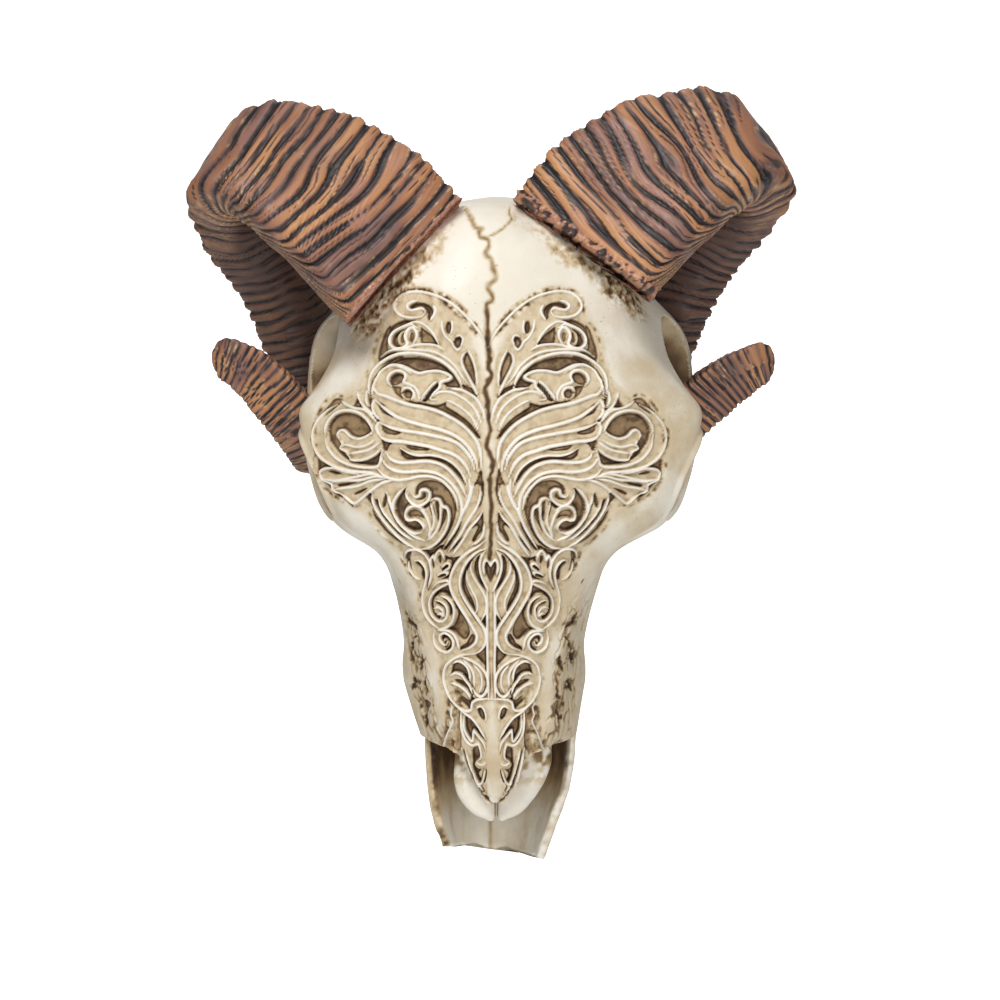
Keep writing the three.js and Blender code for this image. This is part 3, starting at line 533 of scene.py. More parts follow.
recesses = {
    "crestGap": (1, "410 -126 463 -140 512 -176 546 -219 562 -264 563 -317 556 -279 541 -238 509 -195 "
        "458 -164 410 -155"),
    "curl1": (1.9, "379 110 360 126 327 133 293 123 271 103 266 79 277 48 292 56 291 89 312 112 341 112 "
        "365 101"),
    "eye1": (1.8, "196 38 181 33 177 7 183 -17 195 -17 203 7"),
    "eye2": (1.8, "151 -39 135 -34 125 -51 134 -77 148 -89 161 -75 163 -56"),
    "tear": (1.5, "100 -109 84 -137 66 -185 59 -228 58 -271 85 -228 106 -185 118 -152 114 -128"),
    "notch": (1.8, "138 -262 109 -267 76 -283 57 -305 43 -329 81 -307 114 -286"),
    "nineL": (1.9, "452 -15 431 -1 402 6 426 -15 437 -39 430 -68 417 -78 439 -80 457 -63 461 -39"),
    "nineR": (1.6, "325 13 305 0 276 -21 252 -50 237 -72 276 -65 319 -64 327 -31"),
    "nineM": (1.2, "418 -20 404 -13 401 -39 408 -63 423 -54"),
    "nineM2": (1, "375 -16 361 -11 356 -35 367 -61 377 -44"),
    "arch": (2, "487 -173 463 -152 429 -135 386 -129 333 -131 276 -144 228 -163 185 -195 157 -228 138 -262 "
        "138 -281 171 -281 200 -271 212 -257 190 -250 166 -238 171 -223 199 -204 242 -192 290 -194 "
        "324 -201 362 -187 405 -166 449 -162"),
    "under9": (1.6, "417 47 383 47 344 44 373 38 412 26 450 5 474 -24 483 -67 497 -77 493 -29 470 19"),
    "sideDark": (1.3, "498 1 470 24 479 -14 488 -58 477 -96 439 -106 487 -125 521 -154 531 -105"),
    "circle1": (1.9, "473 -251 464 -224 439 -208 413 -211 403 -225 411 -246 435 -262 460 -265"),
    "circle2": (1.7, "406 -299 394 -286 375 -290 364 -304 368 -323 387 -330 404 -318"),
    "circleGap": (1.4, "459 -270 435 -270 416 -275 421 -299 411 -323 388 -340 421 -328 450 -299"),
    "diag": (1.9, "313 -335 286 -297 260 -266 241 -259 236 -273 258 -300 282 -328 301 -347"),
    "wingLine": (1.9, "411 -330 364 -344 316 -350 249 -362 201 -348 201 -367 173 -386 120 -422 78 -462 "
        "50 -501 38 -527 60 -513 88 -482 130 -443 182 -410 244 -381 316 -362 373 -350"),
    "lobeHole1": (0.9, "527 -358 508 -356 479 -390 441 -421 489 -409 518 -390"),
    "lobeHole2": (1.1, "514 -457 476 -471 423 -491 443 -505 491 -500 514 -481"),
    "lobeHole3": (0.9, "400 -553 338 -558 281 -572 310 -582 377 -577"),
    "armpit": (1.9, "515 -526 496 -538 465 -541 482 -557 495 -584 511 -562"),
    "bite": (1.6, "430 -574 406 -589 368 -605 335 -610 282 -610 220 -622 178 -649 140 -694 113 -751 "
        "150 -704 187 -663 230 -636 282 -622 340 -620 397 -624 423 -605"),
    "cFloor": (1.8, "776 -484 761 -436 722 -405 673 -398 625 -413 591 -442 567 -480 587 -502 626 -514 "
        "660 -504 688 -477 708 -473 730 -489 730 -518 714 -544 722 -571 691 -593 677 -621 649 -631 "
        "600 -631 551 -610 519 -581 529 -610 540 -646 586 -648 639 -641 692 -621 735 -580 767 -532"),
    "tri": (1.9, "651 -362 626 -324 605 -365 629 -370"),
    "patch": (1.1, "804 -402 775 -359 741 -323 702 -333 736 -369 775 -400"),
    "gapV": (1.6, "573 -288 556 -293 561 -337 559 -375 538 -416 523 -438 540 -445 562 -413 573 -380 "
        "575 -332"),
    "fanCut0": (1.5, "834 -618 805 -638 761 -655 732 -662 791 -657 818 -669 826 -686 817 -715 829 -691 "
        "833 -662"),
    "fanCut1": (1.1, "782 -679 752 -676 714 -693 753 -693"),
    "fanCut2": (1.2, "740 -741 696 -735 637 -732 691 -748 730 -753"),
    "fanCut3": (1.3, "661 -790 638 -773 589 -758 614 -778 649 -794"),
    "fanCut4": (1.5, "803 -724 764 -741 760 -768 736 -787 693 -804 732 -802 765 -773"),
    "fanCut5": (1.5, "600 -806 571 -780 567 -821 558 -854 572 -840"),
    "slitA": (1.6, "508 -794 498 -782 496 -811 507 -850 519 -852 517 -821"),
    "slitB": (1.5, "492 -840 480 -838 466 -874 438 -914 400 -955 362 -989 409 -967 452 -926 481 -883"),
    "slitC": (1.4, "557 -821 543 -816 533 -850 505 -898 453 -955 396 -1006 453 -977 510 -919 548 -869"),
    "slitD": (1.4, "572 -854 553 -888 511 -946 458 -999 406 -1035 454 -1018 516 -965 563 -898"),
    "ovalL": (2.1, "406 -759 409 -792 388 -830 408 -854 415 -883 409 -914 380 -922 356 -914 334 -931 "
        "330 -953 352 -967 390 -958 426 -926 452 -878 451 -830 431 -790"),
    "ovalT": (1.6, "361 -787 355 -754 326 -729 285 -722 237 -735 200 -768 177 -811 164 -864 172 -912 "
        "190 -960 217 -1005 261 -1046 290 -1056 251 -1025 217 -981 195 -931 191 -883 204 -850 223 -838 "
        "237 -810 265 -801 282 -811 284 -782 307 -759 339 -763 347 -790"),
    "swirlCore": (1.3, "359 -816 330 -818 309 -804 310 -785 322 -782 330 -804 354 -811"),
    "swirlCore2": (1.2, "396 -883 382 -866 355 -864 331 -881 317 -909 341 -900 370 -898 389 -902"),
    "slot1": (1.6, "266 -826 251 -828 247 -864 245 -902 254 -921 260 -873"),
    "slot2": (1.5, "225 -861 211 -869 214 -907 234 -948 253 -979 238 -933 231 -893"),
    "slot3": (0.9, "292 -830 278 -842 274 -883 283 -888"),
    "gapX": (1.7, "316 -838 297 -826 283 -830 307 -857 326 -852"),
    "wedge1": (1.9, "42 -668 33 -720 27 -768 36 -816 53 -852 59 -845 47 -802 46 -754 63 -742 77 -751 "
        "60 -716"),
    "wedge2": (1.9, "41 -876 33 -917 37 -960 57 -988 78 -1020 90 -1013 73 -977 61 -950 73 -943 90 -955 "
        "68 -912"),
    "slitE": (1.4, "140 -917 150 -960 179 -1008 208 -1051 228 -1056 193 -1003 164 -955"),
    "slitF": (1.3, "131 -989 160 -1032 194 -1066 179 -1037"),
    "wisp": (1.3, "411 -1090 401 -1069 382 -1061 390 -1095 386 -1134 379 -1158 400 -1139"),
    "wispIn": (1.7, "368 -1119 344 -1119 323 -1143 316 -1182 329 -1204 338 -1182 337 -1153 352 -1134"),
    "wispR": (1.5, "301 -1124 292 -1153 287 -1196 300 -1245 308 -1259 297 -1201 296 -1157"),
    "ovalB": (1.7, "367 -1052 319 -1061 271 -1054 237 -1034 213 -1041 237 -1054 266 -1071 286 -1090 "
        "296 -1109 315 -1080"),
    "palmC1": (1.3, "254 -1090 242 -1080 238 -1104 243 -1126 252 -1114"),
    "palmC2": (1.7, "236 -1150 216 -1130 203 -1131 212 -1145 231 -1157"),
    "palmC3": (1.4, "258 -1184 239 -1173 212 -1172 224 -1184 251 -1192"),
    "palmR": (1.9, "223 -1085 194 -1094 165 -1092 141 -1087 171 -1116 190 -1157 198 -1186 230 -1201 "
        "259 -1212 229 -1193 203 -1176 195 -1147 190 -1114 209 -1106 221 -1116"),
    "palmL": (1.2, "283 -1099 276 -1114 272 -1143 280 -1143"),
    "spirDark": (2, "290 -1332 290 -1293 274 -1266 245 -1247 216 -1237 203 -1222 200 -1259 188 -1292 "
        "200 -1285 221 -1268 247 -1266 260 -1278 279 -1295 280 -1327 275 -1356 258 -1375 244 -1380 "
        "256 -1395 278 -1375"),
    "spirCut1": (1.4, "265 -1306 241 -1312 217 -1336 212 -1365 227 -1336 246 -1324 265 -1317"),
    "spirCut2": (1.4, "236 -1290 212 -1300 193 -1326 188 -1360 199 -1380 200 -1341 214 -1312"),
    "bigGap": (1.9, "183 -1302 164 -1326 145 -1362 121 -1401 104 -1442 109 -1476 131 -1493 155 -1476 "
        "179 -1450 208 -1438 184 -1423 169 -1394 162 -1358"),
    "curl2Hole": (1.7, "244 -1477 232 -1467 211 -1477 194 -1501 196 -1530 211 -1544 225 -1539 206 -1523 "
        "202 -1501 216 -1486 230 -1487 235 -1504"),
    "curl2Core": (1.2, "230 -1506 218 -1496 216 -1518 223 -1533"),
    "hook": (1.7, "112 -1491 92 -1464 80 -1478 88 -1505 117 -1527 151 -1542 146 -1522 121 -1508"),
    "lyreCut": (2.1, "28 -1058 60 -1077 91 -1109 106 -1142 121 -1176 122 -1215 108 -1258 87 -1302 77 -1335 "
        "80 -1364 51 -1401 63 -1403 99 -1352 127 -1304 140 -1258 142 -1210 130 -1162 106 -1116 69 -1080"),
    "lyreCut2": (1.7, "48 -1082 59 -1118 57 -1157 42 -1203 23 -1251 40 -1236 64 -1198 78 -1159 78 -1121 "
        "65 -1092"),
    "lyreCut3": (2, "20 -1316 19 -1447 39 -1430 51 -1406 32 -1379 22 -1350"),
    "heartCut": (1.6, "24 -1121 15 -1111 8 -1135 -1 -1142 0 -1215 16 -1186 26 -1152"),
    "lyreFoot": (1.9, "76 -1563 52 -1546 27 -1517 20 -1519 20 -1631 36 -1612 57 -1590"),
    "kidCut1": (2, "198 -1659 190 -1615 166 -1602 132 -1618 112 -1651 109 -1690 112 -1707 128 -1683 "
        "150 -1659 176 -1649"),
    "kidCut2": (1.8, "186 -1686 153 -1685 119 -1702 95 -1721 88 -1743 96 -1768 81 -1780 106 -1787 "
        "100 -1756 124 -1724 158 -1706"),
    "kidCut3": (2, "181 -1752 170 -1737 151 -1758 125 -1780 103 -1792 107 -1829 137 -1805 168 -1778"),
    "kidEdge": (1.7, "24 -1612 15 -1651 12 -1704 23 -1745 47 -1770 69 -1769 37 -1741 24 -1704 28 -1660"),
    "eyeletCut": (1.7, "72 -1833 60 -1821 46 -1826 36 -1855 36 -1879 49 -1880 64 -1860"),
    "branchCut": (1.9, "132 -1866 107 -1875 79 -1904 55 -1938 35 -1975 60 -1953 82 -1931 97 -1929 96 -1980 "
        "117 -1963 131 -1929"),
    "trident1": (1.8, "98 -2019 74 -2013 62 -2031 60 -2063 85 -2076 91 -2106 70 -2123 56 -2120 74 -2145 "
        "61 -2175 75 -2203 87 -2166 101 -2109 101 -2056"),
    "trident2": (1.7, "46 -2125 35 -2127 39 -2160 45 -2187 57 -2185 51 -2155"),
    "trident3": (1.5, "90 -2209 65 -2208 50 -2232 72 -2238 44 -2262 16 -2289 50 -2275 84 -2241 99 -2201"),
    "noseLine": (1.6, "154 -2028 140 -2042 114 -2126 94 -2191 81 -2221 97 -2206 121 -2152 143 -2077"),
    "rough1": (1.1, "193 -1813 164 -1822 158 -1891 154 -2003 172 -2053 163 -2128 172 -2205 191 -2181 "
        "208 -2110 236 -2071 237 -2021 218 -1956 190 -1891"),
    "wall1": (1.3, "455 -1190 443 -1202 436 -1222 448 -1212"),
    "wall2": (1.3, "421 -1348 402 -1387 368 -1416 354 -1449 383 -1430 412 -1407"),
    "wall3": (1.7, "354 -1474 374 -1494 386 -1543 385 -1597 395 -1607 401 -1568 391 -1514 373 -1477"),
    "wall4": (1.3, "335 -1556 331 -1600 347 -1650 353 -1620"),
    "wall5": (1.3, "307 -1629 318 -1688 314 -1752 324 -1772 330 -1708"),
    "wall6": (1.2, "381 -1670 367 -1690 383 -1740 393 -1740"),
    "wall7": (1.3, "334 -1787 300 -1801 316 -1846 317 -1895 328 -1936 329 -1876 333 -1827"),
}

sutures = [
    "-127 605 -102 569 -82 530 -63 496 -37 492 -49 475 -47 450 -24 444 -5 436 0 409 -12 377 -10 356 "
    "14 344 21 312 23 292 33 272 38 244 14 224 -3 200 11 179 26 148 1 123 -4 88 1 -3 0 -75 12 -133 "
    "2 -176 18 -219 -4 -262 -14 -305 0 -343 -1 -429 8 -486 -13 -553 5 -601 18 -653 0 -720 0 -816 "
    "4 -873 1 -988 -5 -1104",
    "-5 450 31 467 59 483 79 504 102 526 107 548 96 573 104 602",
    "22 310 45 313",
]

carving = {
    "step": 0.2,  # spacing of the sheet's cells
    "low": (-4.0, -236.0), "high": (98.0, 24.0),
    "lipHigh": 0.85,
    "lipShare": 0.72, "lipMore": 0.3,  # a lip is this share of its half width, and this much wider
    "skirt": 1.5, "skirtHigh": 0.75,  # the slope on both sides of a lip, so that the ground between is dished
    "wall": 0.5,  # over which a recess falls to its floor
    "sink": 0.6,  # how far the ground between lips lies below plain bone
    "gutter": 0.35,  # depth of the fine line cut beside a lip at the edge of a recess
}


def pointsFrom(text):
    return np.array(text.split(), float).reshape(-1, 2) / 10


def nearTo(cells, line):
    # distance from each cell to the nearest stretch of the line, and how far along the line that is
    a, d = line[:-1], np.diff(line, axis=0)
    square = np.maximum((d * d).sum(-1), 1e-9)
    best = np.full(cells.shape[:-1], 1e9, np.float32)
    share = np.zeros(cells.shape[:-1], np.float32)
    run = np.concatenate([[0], np.cumsum(np.sqrt(square))])
    for k in range(len(a)):
        rel = cells - a[k]
        t = np.clip((rel @ d[k]) / square[k], 0, 1)
        away = np.hypot(rel[..., 0] - t * d[k, 0], rel[..., 1] - t * d[k, 1])
        closer = away < best
        best = np.where(closer, away, best)
        share = np.where(closer, (run[k] + t * (run[k + 1] - run[k])) / run[-1], share)
    return best, share


def insideOf(cells, line):
    # a cell is inside where a ray from it crosses the outline an odd number of times
    odd = np.zeros(cells.shape[:-1], bool)
    x, z = cells[..., 0], cells[..., 1]
    for (x0, z0), (x1, z1) in zip(line[:-1], line[1:]):
        if z0 != z1:
            odd ^= ((z0 > z) != (z1 > z)) & (x < x0 + (z - z0) * (x1 - x0) / (z1 - z0))
    return odd


def carveSheet():
    # the ornament as a sheet of heights over plain bone, with how much wash and how much chalk each cell has
    step, low, high = carving["step"] * coarse, carving["low"], carving["high"]
    xs = np.arange(low[0], high[0], step)
    zs = np.arange(low[1], high[1], step)
    shape = (len(zs), len(xs))
    ridge, cut, washAndShade, gutter, skirt = np.zeros((5, *shape), np.float32)

    def spread(field, length):
        return blurred(field, max(1, int(length / step)))

    def window(line, margin):
        i0, i1 = np.searchsorted(zs, [line[:, 1].min() - margin, line[:, 1].max() + margin])
        j0, j1 = np.searchsorted(xs, [line[:, 0].min() - margin, line[:, 0].max() + margin])
        place = (slice(i0, i1), slice(j0, j1))
        return place, np.stack(np.meshgrid(xs[j0:j1], zs[i0:i1]), -1)

    for depth, text in recesses.values():
        line = smoothLine(pointsFrom(text), closed=True, parts=3)
        place, cells = window(line, 1.5)
        away, _ = nearTo(cells, line)
        inner = np.where(insideOf(cells, line), away, -away)
        fall = smoothStep(-0.15, carving["wall"], inner)
        cut[place] = np.maximum(cut[place], depth * fall)
        edge = np.exp(-((inner - 0.3) / 0.42) ** 2)
        washAndShade[place] = np.maximum(washAndShade[place], (0.45 + 0.11 * depth) * fall + 0.40 * edge)
    for halfWidth, text in lipLines.values():
        line = smoothLine(pointsFrom(text), parts=4)
        place, cells = window(line, 4.5)
        away, share = nearTo(cells, line)
        ends = 0.4 + 0.6 * smoothStep(0, 0.14, np.minimum(share, 1 - share))
        wide = (carving["lipShare"] * halfWidth + carving["lipMore"]) * ends
        crown = np.clip(1 - (away / wide) ** 2, 0, 1)
        ridge[place] = np.maximum(ridge[place], crown * (0.6 + 0.4 * wide / 0.8))
        skirt[place] = np.maximum(skirt[place], ends * np.exp(-((away / carving["skirt"]) ** 2)))
        gutter[place] = np.maximum(gutter[place], np.exp(-((away - wide - 0.25) / 0.3) ** 2))
    nearRecess = np.clip(2.2 * spread(np.clip(cut, 0, 1), 0.9), 0, 1)
    gutter *= np.clip(1 - 2.2 * ridge, 0, 1) * mixed(0.22, 1, nearRecess)
    # the ground lies close round the carving, and fills the wider gaps inside it less deeply
    carved = np.clip(ridge * 1.7 + (cut > 0.2), 0, 1)
    ground = smoothStep(0.08, 0.30, spread(carved, 2.4))
    wider = smoothStep(0.08, 0.2, spread(carved, 4.5))
    wider = smoothStep(0.7, 0.98, spread(wider, 2.5)) * smoothStep(2, 4.5, xs)
    outline = 4 * ground * (1 - ground) * (1 - wider)
    ground = np.maximum(ground, 0.75 * wider)
    valley = 1 - skirt * carving["skirtHigh"]
    height = -cut * (1 - smoothStep(0.02, 0.5, ridge))
    height = (height + carving["lipHigh"] * ridge - carving["sink"] * ground * valley * (1 - ridge)
              - carving["gutter"] * gutter)
    # wash gathers in hollows, where it also stands as painted shade, darker the deeper a cell lies below its
    # surroundings; it also lies in the gutters and, thinly, round the whole ornament; lips are rubbed clean
    hollow = np.clip((spread(height, 0.7) - height) * 0.7, 0, 1)
    groundWash = 0.05 + 0.27 * smoothStep(0.25, 0.95, valley)
    washAndShade = np.maximum(washAndShade, ground * (groundWash + 0.62 * gutter * mixed(0.4, 1, nearRecess)) + hollow)
    washAndShade = np.maximum(washAndShade, 0.32 * smoothStep(0.02, 0.7, spread(ground, 5.0)))
    washAndShade = np.clip(washAndShade * (1 - 0.96 * smoothStep(0.12, 0.6, ridge)), 0, 1)
    # pale chalk rubbed on the tops of the lips, which also serves as painted highlight
    chalkAndHighlight = smoothStep(0.45, 0.95, ridge) * (0.4 + 0.35 * ground)
    return {"x": xs, "z": zs, "height": height, "washAndShade": washAndShade, "chalkAndHighlight": chalkAndHighlight, "ground": ground,
            "outline": outline}


def fromSheet(sheet, key, x, z):
    # the sheet's value at a place, blended between the four cells round it, and nothing beyond its edge
    field = sheet[key]
    i = np.clip((z - sheet["z"][0]) / (sheet["z"][1] - sheet["z"][0]), 0, len(sheet["z"]) - 1.001)
    j = np.clip((x - sheet["x"][0]) / (sheet["x"][1] - sheet["x"][0]), 0, len(sheet["x"]) - 1.001)
    i0, j0 = i.astype(int), j.astype(int)
    s, t = i - i0, j - j0
    below = mixed(field[i0, j0], field[i0, j0 + 1], t)
    above = mixed(field[i0 + 1, j0], field[i0 + 1, j0 + 1], t)
    beyond = (z > sheet["z"][-1]) | (z < sheet["z"][0]) | (x > sheet["x"][-1])
    return np.where(beyond, 0, mixed(below, above, s))


sheet = carveSheet()
print("ornament carved:", len(lipLines), "lips and", len(recesses), "recesses")

skullShape = {
    "frontDepth": [[68, -62], [60, -88], [50, -104], [35, -114], [10, -121], [-40, -125], [-80, -121],
                   [-110, -112], [-150, -99], [-205, -84], [-232, -72]],
    "browHalfWidth": [[68, 12], [58, 38], [40, 54], [15, 60], [-8, 68], [-24, 83], [-37, 95], [-46, 95],
                      [-62, 90.5], [-92, 74], [-106, 55], [-130, 41], [-160, 33], [-190, 28.5], [-202, 23],
                      [-206, 15.5], [-216, 11.5], [-223, 7.5], [-228.5, 3]],
    "browDepth": [[68, -58], [50, -86], [20, -97], [-10, -97], [-37, -92], [-60, -95], [-92, -95],
                  [-120, -91], [-160, -84], [-200, -77], [-206, -80], [-228.5, -71.5]],
    "cheekHalfWidth": [[68, 14], [56, 44], [36, 60], [18, 74], [2, 88], [-18, 93], [-40, 94], [-62, 92.5],
                       [-82, 87], [-91, 82], [-96, 76.5], [-108, 57.5], [-125, 49.5], [-150, 44.3],
                       [-163, 44.8], [-172, 44], [-205, 36]],
    "cheekDepth": [[68, -52], [40, -60], [0, -62], [-40, -63], [-90, -63], [-115, -58], [-150, -53],
                   [-205, -52]],
    "flankHalfWidth": [[68, 12], [50, 44], [20, 58], [-10, 60], [-40, 54], [-85, 52], [-108, 44], [-150, 34],
                       [-205, 28]],
    "flankDepth": [[68, -44], [40, -40], [-90, -42], [-108, -47], [-205, -46]],
    "backHalfWidth": [[68, 10], [45, 38], [10, 50], [-60, 48], [-92, 44], [-108, 26], [-205, 18]],
    "backDepth": [[68, -40], [50, 0], [20, 0], [-70, 0], [-86, -8], [-100, -40], [-112, -44.5], [-205, -45]],
    "hollows": [{"at": (98, -77, -6), "radii": (24, 12, 26), "tip": 24, "rim": 0.4, "soft": 0.45},
                {"at": (92, -79.5, -71), "radii": (26, 14, 21.5), "tip": 8, "rim": 2.0, "soft": 0.93}],
    "maxillaStart": -196, "maxillaEnd": -203, "nasalThick": 8.5, "back": -2.0,
    # how far the hollows, the sides and the nose tip lie to the right of the face's midline
    "lean": 4.8, "noseLean": 2.4,
    "sideLean": [[68, 4.8], [-92, 4.8], [-102, 3.2], [-131, 2.5], [-163, 1.8], [-200, 4.2]],
    "midline": [[68, -0.2], [0, -1.1], [-35, -0.9], [-80, 0.1], [-150, 0.5], [-180, 1.0], [-205, 1.4],
                [-230, 2.6]],  # the suture's course over the face
    "pocket": {"halfWidth": 7, "depth": 7, "bottom": 3, "top": 19},  # room behind the keyhole
}
boneWear = {
    "suture": (1.1, 0.6), "sutureWide": (1.45, 0.65), "sutureWash": (0.86, 0.5),  # on the face, on the crown
    "jag": 0.55, "wander": 0.35,  # how far a suture and the right half's cuts stray
    # relief between the scrolls, beside the nasal plate, on plain bone and on the sides of the snout
    "ground": 0.14, "strip": 0.75, "uneven": 0.12, "feather": 1.0,
    "back": 0.16, "flank": (0.09, 0.26),  # wash on the back, and tan wash with painted shade on the flanks and lower face, at least and how much more
}
spanColumns = [48, 48, 48, 28, 28, 12, 12, 8, 8]  # from the middle of the front to the middle of the back
skullBands = [("braincase", -41, 0.42, ["braincase"]), ("orbits", -102, 0.38, ["orbits"]),
              ("snoutUpper", -166, 0.38, ["snout"]), ("snoutLower", -228.5, 0.38, ["snout", "nose_tip"])]


def skullRings(z):
    # rings of points at the heights: named corners from the middle of the front round to the middle of the
    # back, mirrored, joined by a closed smooth curve
    s = skullShape
    front, back = curveThrough(s["frontDepth"], z), curveThrough(s["backDepth"], z)
    brow = [curveThrough(s["browHalfWidth"], z), curveThrough(s["browDepth"], z)]
    cheek = [curveThrough(s["cheekHalfWidth"], z), curveThrough(s["cheekDepth"], z)]
    flank = [curveThrough(s["flankHalfWidth"], z), curveThrough(s["flankDepth"], z)]
    backEdge = [curveThrough(s["backHalfWidth"], z), np.minimum(back, flank[1] + 34)]
    turn = [cheek[0] - 4, np.minimum(cheek[1] + 10, flank[1] - 3)]
    # below the maxillae only the nasal plate goes on, so every other corner closes up behind it
    gone = smoothStep(s["maxillaStart"], s["maxillaEnd"], z)
    behind = front + s["nasalThick"] * mixed(0.5, 1, smoothStep(-228.5, -205, z))
    thin = [(0.96, -0.8), (0.72, 0.0), (0.46, 0.0), (0.22, 0.0)]
    for corner, (share, lift) in zip((cheek, turn, flank, backEdge), thin):
        corner[0] = mixed(corner[0], share * brow[0], gone)
        corner[1] = mixed(corner[1], behind + lift, gone)
    back = mixed(back, behind, gone)
    drop = brow[1] - front
    zero = np.zeros_like(z)
    half = [(zero, front), (0.38 * brow[0], front + 0.1 * drop), (0.74 * brow[0], front + 0.46 * drop), brow,
            (mixed(brow[0], cheek[0], 0.5), mixed(brow[1], cheek[1], 0.5)), cheek, turn, flank, backEdge,
            (zero, back)]
    ring = half + [(-x, y) for x, y in half[-2:0:-1]]
    corners = np.array([np.stack([x, y], -1) for x, y in ring])  # corner, row, (x, y)
    order = np.minimum(np.arange(len(ring)), len(ring) - np.arange(len(ring)))
    share = np.minimum(1, 0.36 * order)[:, None]
    middle = s["noseLean"] * smoothStep(-180, -212, z)
    corners[..., 0] += mixed(middle, mixed(curveThrough(s["sideLean"], z), s["noseLean"], gone), share)
    counts = [max(2, c // coarse) for c in spanColumns]
    points = []
    for k, count in enumerate(counts + counts[::-1]):
        p0, p1, p2, p3 = (corners[(k + step) % len(ring)][:, None] for step in (-1, 0, 1, 2))
        points.append(blended(p0, p1, p2, p3, (np.arange(count) / count)[None, :, None]))
    xy = np.concatenate(points, axis=1)
    return np.concatenate([xy, np.broadcast_to(z[:, None, None], (*xy.shape[:2], 1))], -1)


def sinkHollows(p):
    # where a point lies within an egg's outline, seen along the egg's axis, it moves in to the egg's far side
    inside = np.zeros(p.shape[:2])
    lean = np.array([skullShape["lean"], 0, 0])
    p = p - lean
    side = np.where(p[..., 0] < 0, -1.0, 1.0)
    for hollow in skullShape["hollows"]:
        tip = math.radians(hollow["tip"])
        rel = np.stack([p[..., 0] * side, p[..., 1], p[..., 2]], -1) - hollow["at"]
        depth = rel[..., 0] * math.cos(tip) - rel[..., 1] * math.sin(tip)
        level = rel[..., 0] * math.sin(tip) + rel[..., 1] * math.cos(tip)
        rx, ry, rz = hollow["radii"]
        r = np.hypot(level / ry, rel[..., 2] / rz)
        floor = -rx * np.sqrt(np.clip(1 - r**2, 0, 1))
        move = np.where((r < 1) & (depth > floor), depth - floor, 0) * smoothStep(1.0, hollow["soft"], r)
        outer = depth > -0.5 * rx
        move -= np.where(outer, hollow["rim"] * np.exp(-((r - 1.1) / 0.09) ** 2), 0)
        p = p.copy()
        p[..., 0] -= side * move * math.cos(tip)
        p[..., 1] += move * math.sin(tip)
        inside = np.maximum(inside, np.where(move > 0.6, smoothStep(1.0, 0.84, r), 0))
    return p + lean, inside


def skullHeights():
    # the crown is rounded over in the first rows, and the rest follow in even steps band by band
    crown = np.linspace(66.5, 22, 46 // coarse)
    rows, bands = [crown], []
    start, low = 0, 22
    for name, end, step, nodes in skullBands:
        count = max(4, int((low - end) / (step * coarse)))
        rows.append(np.linspace(low, end, count + 1)[1:])
        stop = sum(map(len, rows))
        bands.append((name, start, stop, nodes))
        start, low = stop - 1, end
    return np.concatenate(rows), bands


def grooveAlong(x, z, line, wide):
    # 1 on the line and falling to 0 beside it, only worked out near the line
    value = np.zeros(x.shape, np.float32)
    near = np.abs(x - line[:, 0].mean()) < np.ptp(line[:, 0]) / 2 + 3
    near &= (z > line[:, 1].min() - 2) & (z < line[:, 1].max() + 2)
    away, _ = nearTo(np.stack([x[near], z[near]], -1), line)
    value[near] = np.exp(-((away / wide[near]) ** 2))
    return value


